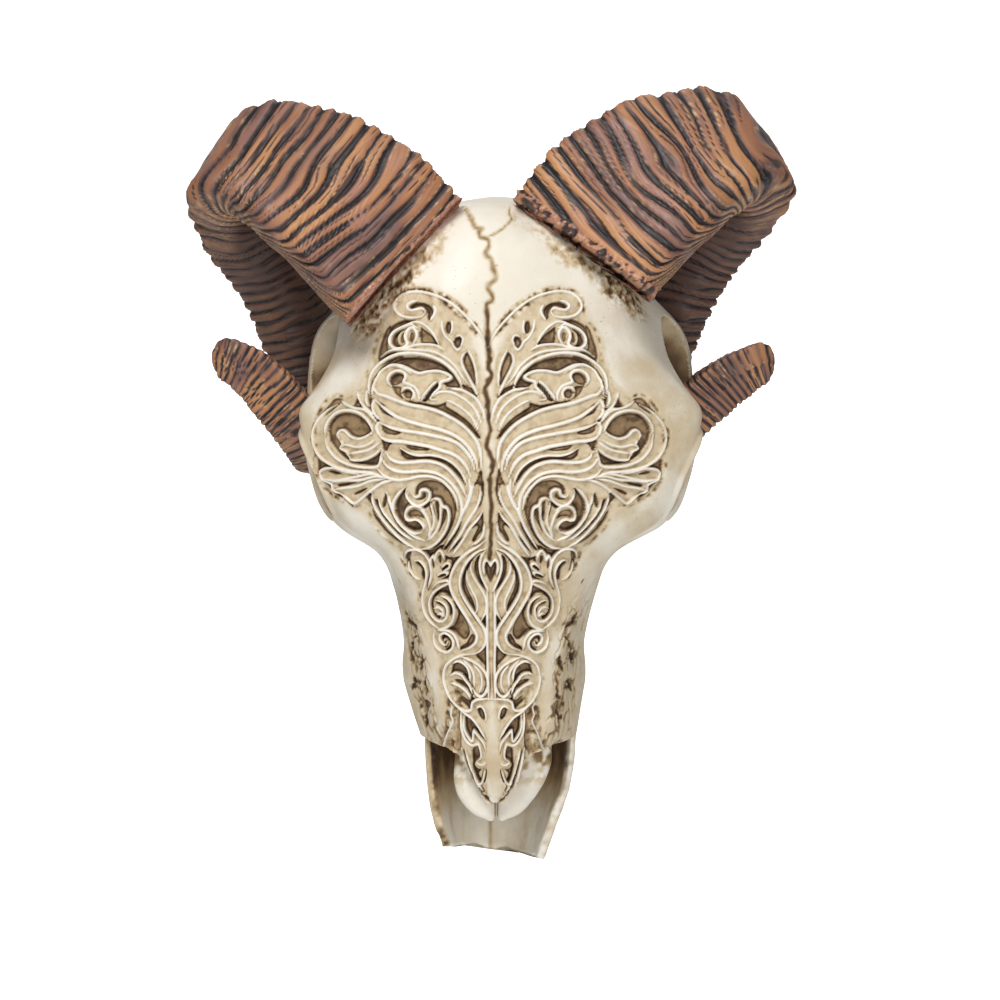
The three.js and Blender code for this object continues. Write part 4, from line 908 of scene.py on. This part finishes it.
def makeSkull():
    z, bands = skullHeights()
    p = skullRings(z)
    lift = (z > 61).astype(float) * (z - 61) / 5.5  # the last rows draw in towards the middle of the crown
    middle = p.mean(1, keepdims=True)
    shrink = np.sqrt(np.clip(1 - lift**2, 0.02, 1))[:, None, None]
    p[..., :2] = middle[..., :2] + (p[..., :2] - middle[..., :2]) * shrink
    p[..., 1] = np.minimum(p[..., 1], skullShape["back"])
    p, inside = sinkHollows(p)
    base = p.copy()
    n = -gridNormals(p)
    front = smoothStep(-40, -55, p[..., 1])
    level = p[..., 2]
    fromMiddle = p[..., 0] - curveThrough(skullShape["midline"], level)
    lateral = np.abs(fromMiddle)
    other = smoothStep(-1, 1, fromMiddle)  # the right half's cuts wander a little from the left half's
    wander = boneWear["wander"] * softNoise(p, 14, 5) * other
    facing = front * smoothStep(0.02, 0.2, -n[..., 1]) * (1 - inside)
    height, washAndShade, chalkAndHighlight, ground, outline = (
        fromSheet(sheet, key, lateral + wander, level + wander) * facing
        for key in ("height", "washAndShade", "chalkAndHighlight", "ground", "outline"))
    crack = np.zeros(height.shape)
    crown = smoothStep(-5, 25, level)
    jag = boneWear["jag"] * softNoise(p, 2.2, 9)
    for text in sutures:
        line = smoothLine(pointsFrom(text), parts=3)
        wide = mixed(*boneWear["sutureWide"], smoothStep(-10, 25, line[:, 1].mean()))
        wide = wide + 0.4 * softNoise(p, 3, 10)
        crack = np.maximum(crack, grooveAlong(fromMiddle + jag, level, line, wide) * front)
    faint = mixed(*boneWear["sutureWash"], crown) + 0.14 * softNoise(p, 1.8, 11)
    height = height - mixed(*boneWear["suture"], crown) * crack
    washAndShade = np.maximum(washAndShade, np.clip(faint, 0, 1) * crack + 0.16 * blurred(crack, 3 // coarse))
    # rough ground: pocked between the scrolls, on strips beside the nasal plate and round the outer carving
    rough = roughNoise(p, 2.4, 3, 3)
    fromStrip = np.abs(lateral - curveThrough([[-165, 15.5], [-180, 18.5], [-205, 22.5]], level))
    strip = smoothStep(3.8, 2.2, fromStrip + rough) * smoothStep(-168, -176, level) * facing
    strip *= 1 - smoothStep(0.1, 0.5, chalkAndHighlight)
    brow = curveThrough(skullShape["browHalfWidth"], level)
    side = smoothStep(brow - 5, brow + 1, lateral) * smoothStep(-112, -150, level)
    side = side * smoothStep(-52, -66, p[..., 1])
    # upright leaf cuts on the sides of the snout
    feather = softNoise(p * np.array([1, 1, 0.3]), 3.4, 47)
    feather = np.abs(feather + 0.5 * softNoise(p * np.array([1, 1, 0.4]), 1.6, 48))
    feather = smoothStep(0.34, 0.04, feather) * side * smoothStep(-1.2, -0.5, softNoise(p, 12, 49))
    plain = 1 - smoothStep(0.05, 0.4, chalkAndHighlight)
    height = height + rough * (boneWear["ground"] * ground * plain + boneWear["strip"] * strip)
    height = height + boneWear["uneven"] * roughNoise(p, 9, 21, 2)
    outline = outline * plain * smoothStep(3, 6, lateral)
    height = height + 0.35 * outline * np.minimum(rough, 0)
    washAndShade = washAndShade + ground * plain * 0.1 * np.clip(-rough * 1.6, -0.4, 1)
    washAndShade = np.clip(washAndShade + outline * (0.22 - 0.5 * rough), 0, 1)
    washAndShade = mixed(washAndShade, np.clip(0.46 - 0.4 * rough, 0.12, 0.74), strip)
    height = height - boneWear["feather"] * feather + 0.4 * side
    washAndShade = np.maximum(washAndShade, 0.28 * side + 0.38 * feather)
    # painted shade with some tan wash in the eye sockets and temple hollows, darker lower down
    hollowShadeAndWash = 0.34 + 0.3 * roughNoise(p, 16, 31, 3) + 0.4 * smoothStep(0, -24, level)
    washAndShade = np.maximum(washAndShade, inside * hollowShadeAndWash)
    # tan rubbed in along the brow, under the horns and on the flanks; on the flanks and the lower face it is
    # also painted shade, darker where the faces turn away from the light
    grime = 0.10 + 0.5 * smoothStep(0.15, 0.6, softNoise(p, 22, 41)) * (1 - ground)
    behind = smoothStep(-70, -20, p[..., 1])
    flankWashAndShade = smoothStep(34, 80, lateral) + smoothStep(-60, -130, level)
    cloudy = 0.5 + 0.5 * np.clip(1.4 * roughNoise(p, 26, 45, 3), -1, 1)
    least, more = boneWear["flank"]
    washAndShade = np.maximum(washAndShade, boneWear["back"] * behind)
    washAndShade = np.maximum(washAndShade, (least + more * cloudy) * np.clip(flankWashAndShade, 0, 1))
    p = p + n * height[..., None]
    pocket = skullShape["pocket"]
    well = (np.abs(p[..., 0]) < pocket["halfWidth"]) & (level > pocket["bottom"]) & (level < pocket["top"])
    well &= p[..., 1] > -6
    flat = np.minimum(p[..., 1], skullShape["back"])
    p[..., 1] = np.where(well, skullShape["back"] - pocket["depth"], flat)
    return p, base, bands, {"washAndShade": washAndShade, "chalkAndHighlight": chalkAndHighlight, "grime": grime}


def nearest(a, b):
    # least distance from each point of a to the points of b, in blocks
    out = np.empty(len(a), np.float32)
    a, b = a.astype(np.float32), b.astype(np.float32)
    square = (b * b).sum(1)
    for k in range(0, len(a), 2000):
        part = a[k:k + 2000]
        least = ((part * part).sum(1)[:, None] + square - 2 * part @ b.T).min(1)
        out[k:k + 2000] = np.sqrt(np.maximum(least, 0))
    return out


every = 6 // coarse  # gaps are measured at every so many rows and columns
farOff = 99.0  # stands for any great distance


def gapTo(p, others, low=-np.inf, back=np.inf):
    # how far a grid's points are from the others, filled in between the measured ones along both ways; points
    # below low or behind back count as far off
    some = p[::every, ::every].reshape(-1, 3)
    close = (some[:, 2] > low) & (some[:, 1] < back)
    gap = np.full(len(some), farOff)
    gap[close] = nearest(some[close], others)
    rows, columns = np.arange(0, p.shape[0], every), np.arange(0, p.shape[1], every)
    wide = [np.interp(np.arange(p.shape[1]), columns, line) for line in gap.reshape(len(rows), len(columns))]
    return np.array([np.interp(np.arange(p.shape[0]), rows, line) for line in np.array(wide).T]).T


def cutPieces(p, n, paint, parts, material, flip):
    # a piece from each run of rows of a surface: its name, its first row, the row after its last, its nodes
    for name, low, high, nodes in parts:
        own = {key: values[low:high] for key, values in paint.items()}
        gridPiece(name, p[low:high], nodes, material, own, normals=n[low:high], flip=flip)


hornShape = {
    "line": [[30, -94, 18], [43, -97, 28], [63, -99, 49], [84, -96, 65.5], [105, -87, 76], [118.5, -75, 76],
             [117.5, -56, 62], [103, -40, 41], [91, -32, 16], [82.5, -26, -10], [77, -27, -35],
             [74, -38, -55], [78, -54, -55], [89, -63, -43], [101, -66, -31], [113, -68, -20.5],
             [125, -69, -14], [134.5, -68, -11.5]],
    "thick": [26, 27, 27, 27, 25.5, 23, 20.5, 19.5, 18.5, 17.2, 15.6, 14.5, 13.5, 13, 12.5, 11.5, 10, 7.5],
    "wide": [34, 37, 37, 34, 28.5, 23.5, 20.5, 20.5, 20, 19, 17, 15.5, 14.5, 14, 13.5, 12.3, 10.7, 8],
    # the way that the broad face looks
    "facing": [[-0.1, -0.87, 0.5], [-0.05, -0.87, 0.5], [0, -0.85, 0.5], [0.2, -0.78, 0.6],
               [0.4, -0.62, 0.68], [0.6, -0.4, 0.7], [0.85, 0, 0.5], [0.9, 0.35, 0.2], [0.87, 0.5, 0],
               [0.8, 0.6, -0.15], [0.6, 0.6, -0.5], [0.3, 0.3, -0.9], [0.2, -0.4, -0.9],
               [0.2, -0.75, -0.6], [0.3, -0.85, -0.4], [0.3, -0.9, -0.3], [0.3, -0.9, -0.3],
               [0.3, -0.9, -0.3]],
    "faces": [(0, 0.86), (90, 1.08), (140, 0.80), (180, 0.86), (-112, 0.78)],  # bearing and distance of each
    "edge": 7,  # the greater, the sharper the edges between the faces
    "tipRound": 7,  # the length over which the tip closes
    "lean": -4.8, "leanFrom": -75, "leanTo": -30, "roll": 0.02,  # both horns go left as they go back
    "rootTo": 0.3,  # share of the horn that can lie near its root
    # where the horn grows out of the bone: a point of the line seen from the front as x and z, the way that
    # the horn goes from it, and how wide its crumbly edge is
    "root": {"right": ((11.3, 61.4), (0.605, 0.797), 7.0), "left": ((13.4, 62.9), (0.743, 0.669), 3.6)},
    "swell": {"right": 0.17, "left": 0.05},  # how much fuller the upper face is above the root
    "round": {"right": 0.24, "left": 0.13}, "bendAt": 0.305,  # and the outer face at the first bend
    "tipShift": {"right": (4.0, -2.5), "left": (0.5, 4.8)},  # how far the tip goes outwards and up
    # how much dark and how much rust the crumbly edge has
    "rootDark": {"right": 0.75, "left": 0.15}, "rootRust": {"right": 0.45, "left": 1.0},
    "rows": 580, "columns": 300, "split": 0.5,
    "ridge": 6.2, "tipRidge": 3.6,  # spacing of the growth rings at the base and at the tip
    "deep": 1.5, "fine": 0.5, "knob": 1.6,  # depth of the grooves and fine lines, height of the knobs
    "skew": 44,  # how far the rings slant along the underside
    "seed": {"right": 9, "left": 30},
}


def alongLine(keys, share):
    # a smooth curve through the keys, with the number of the stretch and the place within it
    p = np.array(keys, float)
    last = len(p) - 1
    p = np.concatenate([2 * p[:1] - p[1:2], p, 2 * p[-1:] - p[-2:-1]])
    place = np.clip(share, 0, 1) * last
    i = np.minimum(place.astype(int), last - 1)
    t = (place - i)[:, None]
    return blended(p[i], p[i + 1], p[i + 2], p[i + 3], t), i, t[:, 0]


def hornFrames(share):
    # centre, direction, outward way and across way of the horn at shares of its run of points
    centre, i, t = alongLine(hornShape["line"], share)
    ahead = np.gradient(centre, axis=0)
    ahead /= np.linalg.norm(ahead, axis=1, keepdims=True)
    out = alongLine(hornShape["facing"], share)[0]
    out -= (out * ahead).sum(1, keepdims=True) * ahead
    out /= np.linalg.norm(out, axis=1, keepdims=True)
    ease = t**2 * (3 - 2 * t)
    thick, wide = (mixed(np.array(hornShape[key])[i], np.array(hornShape[key])[i + 1], ease)
                   for key in ("thick", "wide"))
    return centre, ahead, out, np.cross(ahead, out), thick, wide


def leaned(p):
    # both horns go to the left as they go back, and rise to the right
    back = smoothStep(hornShape["leanFrom"], hornShape["leanTo"], p[..., 1])
    p[..., 0] += hornShape["lean"] * back
    p[..., 2] += hornShape["roll"] * p[..., 0]
    return p


def hornRelief(run, bearing, share, seed):
    # growth rings: a phase that grows with the run along the horn and wanders from ring to ring, cut into
    # dark grooves between plateaus; on the underside the rings slant along the horn; gives the height, the
    # grooves, the fine lines, where the underside is, the tint and the pale edges
    degrees = np.degrees(bearing)
    near = 1 - smoothStep(0.30, 0.62, share)

    def ringNoise(along, around, number):
        place = np.stack([run / along, 30 * np.cos(bearing) / around, 30 * np.sin(bearing) / around], -1)
        return softNoise(place, 1.0, number + seed)

    under = smoothStep(56, 66, degrees) * smoothStep(230, 200, degrees)
    slant = hornShape["skew"] * smoothStep(52, 104, degrees) * smoothStep(250, 190, degrees)
    slant = slant * (1 - smoothStep(0.10, 0.32, share))
    bow = 6.0 * np.cos(np.radians(degrees + 10)) * near
    spacing = mixed(hornShape["ridge"], hornShape["tipRidge"], smoothStep(0.5, 0.8, share))
    step = np.gradient(run[:, 0])[:, None]
    big, mid, small = ringNoise(26, 30, 2), ringNoise(9, 26, 4), ringNoise(3.5, 16, 6)
    phase = np.cumsum(step / spacing, axis=0) + (bow - slant) / spacing
    phase = phase + mixed(0.4, 1, near) * (0.55 * big + 0.5 * mid + 0.10 * small)
    wave = np.cos(2 * np.pi * phase)
    fades = smoothStep(-0.55, 0.15, ringNoise(7, 22, 12) + 0.35 * ringNoise(4, 9, 13))
    split = 0.5 + 0.5 * np.cos(2 * np.pi * (phase * 4.3 + 0.5 * ringNoise(6, 28, 20)))
    groove = smoothStep(mixed(0.8, 0.15, fades), 0.9, wave) * mixed(0.4, 1, fades)
    groove = groove * (0.38 + 0.62 * split)
    flank = smoothStep(-0.45, 0.6, wave) * mixed(0.5, 1, fades)
    second = np.cos(2 * np.pi * (phase * 2.37 + 0.7 * ringNoise(7, 30, 14)))
    minor = smoothStep(0.45, 0.95, second) * smoothStep(-0.35, 0.3, ringNoise(6, 24, 15))
    hair = np.cos(2 * np.pi * (phase * 5.3 + 0.9 * ringNoise(5, 24, 16))) * (1 - under * near)
    keel = np.exp(-((degrees - 50) / 12.0) ** 2) + 0.6 * np.exp(-((degrees - 304) / 12.0) ** 2)
    lump = keel * (0.5 + 0.5 * np.cos(2 * np.pi * (phase * 0.7 + 0.3 * big)))
    deep = hornShape["deep"] * (1 - 0.55 * under * near) * mixed(0.6, 1, near)
    deep = deep * mixed(0.5, 1, smoothStep(1.0, 0.8, share))
    height = -deep * (0.65 * groove + 0.45 * flank) - hornShape["fine"] * minor - 0.13 * hair
    height += hornShape["knob"] * near * (lump - 0.3 * keel) + near * (0.6 * big + 0.35 * mid)
    lines = np.clip(smoothStep(0.75, 1.0, hair) * smoothStep(-0.3, 0.4, ringNoise(5, 18, 17)), 0, 1)
    tint = np.clip(0.62 + 0.5 * ringNoise(8, 30, 18) + 0.2 * small - 0.75 * flank, 0, 1)
    edge = np.exp(-((wave - mixed(0.55, -0.05, fades)) / 0.17) ** 2)
    edge = edge * smoothStep(-0.3, 0.35, ringNoise(7, 30, 19))
    edge = np.maximum(edge, 0.7 * smoothStep(-0.5, -0.9, wave) * under * near)
    return height, groove, np.clip(minor + 0.5 * lines, 0, 1), under, tint, edge


def hornSurface(hand):
    # rings of points set round the centre line; the outline is a rounded polygon
    rows, columns = hornShape["rows"] // coarse, hornShape["columns"] // coarse
    fine = np.linspace(0, 1, 4000)
    steps = np.linalg.norm(np.diff(hornFrames(fine)[0], axis=0), axis=1)
    length = np.concatenate([[0], np.cumsum(steps)])
    run = np.linspace(0, length[-1], rows)
    share = np.interp(run, length, fine)
    centre, ahead, out, across, thick, wide = hornFrames(share)
    bearing = np.arange(columns) / columns * 2 * np.pi
    reach = sum((np.clip(np.cos(bearing - math.radians(face)), 0, 1) / away) ** hornShape["edge"]
                for face, away in hornShape["faces"]) ** (-1 / hornShape["edge"])
    tipIn = roundedEnd(length[-1] - run, hornShape["tipRound"], 0.995)
    upper = np.clip(np.cos(bearing + math.radians(80)), 0, 1) ** 1.5
    above = smoothStep(0.02, 0.14, share) * smoothStep(0.34, 0.18, share)
    bend = np.exp(-((share - hornShape["bendAt"]) / 0.05) ** 2)[:, None]
    bend = bend * np.clip(np.cos(bearing + math.radians(20)), 0, 1)
    full = 1 + hornShape["swell"][hand] * above[:, None] * upper + hornShape["round"][hand] * bend
    outwards = (tipIn * thick)[:, None] * full * reach * np.cos(bearing)
    sideways = (tipIn * wide)[:, None] * full * reach * np.sin(bearing)
    p = centre[:, None] + out[:, None] * outwards[..., None] + across[:, None] * sideways[..., None]
    towardsTip = smoothStep(0.70, 0.93, share)[:, None]
    p[..., 0] += hornShape["tipShift"][hand][0] * towardsTip
    p[..., 2] += hornShape["tipShift"][hand][1] * towardsTip
    return p, *np.broadcast_arrays(run[:, None], share[:, None], bearing[None], tipIn[:, None])


def makeHorn(skin, hand, side):
    # both horns are made on the right; the left one is mirrored at the end
    p, run, share, bearing, tipIn = hornSurface(hand)
    height, groove, minor, under, tint, gilt = hornRelief(run, bearing, share, hornShape["seed"][hand])
    (rootX, rootZ), (wayX, wayZ), crumbly = hornShape["root"][hand]
    nearRoot = share < hornShape["rootTo"]

    def pastRoot(points):
        return np.where(nearRoot, wayX * (points[..., 0] - rootX) + wayZ * (points[..., 2] - rootZ), farOff)

    gap = np.where(nearRoot, gapTo(p, skin), farOff)
    crumb = roughNoise(p, 1.9, 51, 3)
    ragged = 1.3 * softNoise(p, 3.6, 52) + 0.7 * softNoise(p, 1.5, 53)
    burr = smoothStep(crumbly + 1, crumbly - 0.6, pastRoot(p) + ragged)
    burr = np.where(nearRoot, np.maximum(burr, smoothStep(3.5, 2.0, gap + ragged)), 0)
    height = mixed(height, 1.4 * crumb - 0.2, burr)
    p = p + gridNormals(p) * (height * np.clip(tipIn * 1.5, 0, 1))[..., None]
    # the end is rounded over, stops at the line and reaches back into the bone
    fromRoot = pastRoot(p)
    move = np.where(fromRoot < 3, 3 * np.exp((np.minimum(fromRoot, 3) - 3) / 3) - fromRoot, 0)
    p[..., 0] += wayX * move
    p[..., 2] += wayZ * move
    p[..., 1] += (4.5 + 1.25 * np.clip(gap - 4, 0, 26)) * smoothStep(4.5, 0.6, fromRoot) ** 2
    hollow = np.clip((blurred(height, max(1, 3 // coarse)) - height) * 0.8, 0, 0.5)
    dark = np.clip(0.95 * groove + 0.55 * minor + hollow, 0, 1)
    dark = mixed(dark, hornShape["rootDark"][hand] * smoothStep(0.3, -0.5, crumb), burr)
    # painted shade: the back of the curl, the inside of the bend and the underside are darker, with a little
    # random mottling
    behind = smoothStep(0.27, 0.36, share) * smoothStep(0.76, 0.70, share)
    inner = smoothStep(80, 130, np.degrees(bearing)) * smoothStep(300, 250, np.degrees(bearing))
    shade = np.clip(0.10 + behind * mixed(0.5, 1, inner) + 0.25 * under + 0.2 * softNoise(p, 16, 71), 0, 1)
    rust = burr * mixed(hornShape["rootRust"][hand], 1, smoothStep(2.2, 1.0, fromRoot))
    paint = {"groove": dark, "crest": gilt * (1 - burr), "shade": shade, "burr": rust,
             "tint": mixed(tint, 0.5 + 0.5 * np.clip(crumb, -1, 1), burr)}
    p[..., 0] *= side
    p = leaned(p)
    rows = len(p)
    cut = int(rows * hornShape["split"])
    name, node = f"horn{hand.title()}", f"horn_{hand}"
    parts = [(name + "Base", 0, cut + 1, [node + "_base", node + "_bend"]),
             (name + "Curl", cut, rows, [node + "_curl", node + "_tip"])]
    cutPieces(p, gridNormals(p) * side, paint, parts, horn, flip=side < 0)
    return p[:cut:every, ::every].reshape(-1, 3)


skullPoints, skullBase, skullRuns, skullPaint = makeSkull()
print("skull shaped:", skullPoints.shape)
skin = skullBase[::8 // coarse, ::6 // coarse].reshape(-1, 3)
skin = skin[(skin[:, 0] > -5) & (skin[:, 1] < -20) & (skin[:, 2] > -50)]
hornPoints = np.concatenate([makeHorn(skin, "right", 1), makeHorn(skin, "left", -1)])
print("horns wound")


def finishSkull(p):
    # brown rubbed into the bone where the horns grow out of it, then the bands become pieces
    gap = gapTo(p, hornPoints, low=-45, back=-30)
    crumb = roughNoise(p, 2.3, 61, 3)
    band = smoothStep(13, 4, gap + 3 * softNoise(p, 9, 62)) * mixed(0.3, 1, smoothStep(52, 22, p[..., 2]))
    skullPaint["washAndShade"] = np.clip(np.maximum(skullPaint["washAndShade"], band * (0.46 - 0.55 * crumb)), 0, 1)
    p = p - gridNormals(p) * (band * 0.7 * crumb)[..., None]
    p[..., 1] = np.minimum(p[..., 1], skullShape["back"])
    cutPieces(p, -gridNormals(p), skullPaint, skullRuns, bone, flip=True)


finishSkull(skullPoints)
print("skull pieces made")

prong = {"top": -176, "tip": -238.3, "halfWidth": 23.5, "cleft": 0.2, "frontDepth": -77, "tipDepth": -65,
         "thick": 13, "roundedOver": 30, "tipRound": 3.5, "lean": 3.0, "sway": 3.4,
         "rows": 170, "columns": 96}


def makePremaxilla(hand, side):
    # flattened rings between the cleft and an outer edge that draws in to a rounded end
    z = np.linspace(prong["tip"], prong["top"], prong["rows"] // coarse)
    share = (z - prong["tip"]) / (prong["top"] - prong["tip"])
    fromTip = z - prong["tip"]
    outer = prong["halfWidth"] * roundedEnd(fromTip, prong["roundedOver"], 0.97)
    close = roundedEnd(fromTip, prong["tipRound"], 0.99)
    front = mixed(prong["tipDepth"], prong["frontDepth"], share)
    thick = prong["thick"] * mixed(0.7, 1, share)
    middle, half = (outer + prong["cleft"]) / 2, (outer - prong["cleft"]) / 2 * close
    angle = np.arange(prong["columns"] // coarse) / (prong["columns"] // coarse) * 2 * np.pi
    c, s = np.cos(angle), np.sin(angle)
    x = middle[:, None] + half[:, None] * np.sign(c) * np.abs(c) ** 0.75
    y = (front + thick / 2)[:, None] + (thick / 2 * close)[:, None] * np.sign(s) * np.abs(s) ** 0.75
    p = np.stack([x, y, np.broadcast_to(z[:, None], x.shape)], -1)
    n = gridNormals(p)
    p = p + n * (0.22 * roughNoise(p, 8, 81 + side, 2) + 0.05 * roughNoise(p, 2, 85, 2))[..., None]
    shadow = smoothStep(0.2, 0.55, share)[:, None] * np.ones(x.shape)
    washAndShade = np.clip(0.10 + 0.6 * shadow * smoothStep(-0.5, 0.5, roughNoise(p, 4, 83, 3)), 0, 1)
    seam = np.exp(-((p[..., 0] - prong["cleft"]) / 0.9) ** 2)
    p[..., 0] = p[..., 0] * side + prong["lean"] + prong["sway"] * smoothStep(-230, -205, p[..., 2])
    paint = {"washAndShade": np.maximum(washAndShade, 0.5 * seam), "chalkAndHighlight": np.zeros(x.shape),
             "grime": np.full(x.shape, 0.15)}
    gridPiece(f"premaxilla{hand.title()}", p, [f"premaxilla_{hand}"], bone, paint, flip=side < 0)


jaw = {
    "top": -107, "tip": -257, "wall": 4.6, "tipRound": 2.4, "back": -3, "rows": 260, "columns": 76,
    "halfWidth": [[-107, 44], [-150, 39], [-200, 37], [-222, 34.8], [-235, 31.5], [-246, 28.3], [-257, 25]],
    "edgeDepth": [[-107, -52], [-190, -52], [-212, -50], [-235, -51], [-257, -43]],
    "lean": [[-107, 4.8], [-214, 4.8], [-235, 3.0], [-257, 1.6]],
}


def makeJaw(hand, side):
    # half a trough: along the inside from the middle to the edge, over the edge, and back along the outside
    rows, columns = jaw["rows"] // coarse, jaw["columns"] // coarse
    z = np.linspace(jaw["tip"], jaw["top"], rows)
    halfWidth, edge = (curveThrough(jaw[key], z)[:, None] for key in ("halfWidth", "edgeDepth"))
    close = roundedEnd(z - jaw["tip"], jaw["tipRound"], 0.98)[:, None]
    wall = jaw["wall"] * mixed(0.35, 1, close)
    s = np.linspace(0, 1, columns) ** 0.8
    lean = side * curveThrough(jaw["lean"], z)[:, None]

    def strip(width, floor, power):
        x = (width + lean) * s
        return np.stack(np.broadcast_arrays(x, mixed(floor, edge, np.abs((x - lean) / width) ** power)), -1)

    inner = strip(halfWidth - wall, jaw["back"] - wall - 4, 3.2)
    outer = strip(halfWidth, jaw["back"] - 4 * (1 - close), 4.2)
    lip = (np.linspace(0, 1, 9)[1:-1] * math.pi)[None, :]
    middle, reach = (inner[:, -1:] + outer[:, -1:]) / 2, (outer[:, -1:] - inner[:, -1:]) / 2
    over = middle - reach * np.cos(lip)[..., None] - np.array([0, 1.8]) * np.sin(lip)[..., None]
    xy = np.concatenate([inner, over, outer[:, ::-1]], 1)
    p = np.concatenate([xy, np.broadcast_to(z[:, None, None], (*xy.shape[:2], 1))], -1)
    # the front edge is ragged, and lower on the right than on the left
    ragged = smoothStep(-240, -257, p[..., 2])
    p[..., 2] += ragged * (2.6 + 0.9 * roughNoise(p, 5, 92, 3) - 0.13 * side * p[..., 0])
    n = gridNormals(p)
    inside = np.zeros(p.shape[:2])
    inside[:, :columns + 3] = 1
    groove = np.exp(-(p[..., 0] / 1.1) ** 2) * inside
    uneven = 0.35 * roughNoise(p, 14, 93, 3) + 0.06 * roughNoise(p, 2.5, 95, 2)
    p = p + n * (uneven - 0.5 * groove)[..., None]
    p[..., 0] = np.maximum(p[..., 0], 0) * side
    p[:, [0, -1], 0] = 0  # the halves meet in the middle
    under = smoothStep(-240, -206, p[..., 2])
    rim = np.exp(-((np.arange(p.shape[1]) - columns - 3) / 3.5) ** 2)[None] * np.ones((rows, 1))
    streaks = roughNoise(p * np.array([1, 1, 0.35]), 7, 96, 3)
    # painted shade inside the trough, darker towards the top under the snout, with more dirt specks there;
    # the groove and the streaks take tan wash
    washAndShade = 0.13 + 0.30 * groove + 0.62 * under * inside + 0.13 * streaks + 0.3 * rim * roughNoise(p, 3, 97, 2)
    # painted shade on the left rim and a chalky painted highlight on the right rim
    washAndShade += (0.42 if side < 0 else 0.06) * rim
    paint = {"washAndShade": np.clip(washAndShade, 0, 1), "chalkAndHighlight": 0.3 * rim * (side > 0), "grime": 0.1 + 0.3 * under}
    gridPiece(f"jaw{hand.title()}", p, [f"jaw_{hand}"], bone, paint, flip=side < 0)


for handName, sideSign in (("left", -1), ("right", 1)):
    makePremaxilla(handName, sideSign)
    makeJaw(handName, sideSign)
print("premaxillae and jaw made")

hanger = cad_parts["hanger_plate"]
hanger.data.materials.clear()
hanger.data.materials.append(steel)
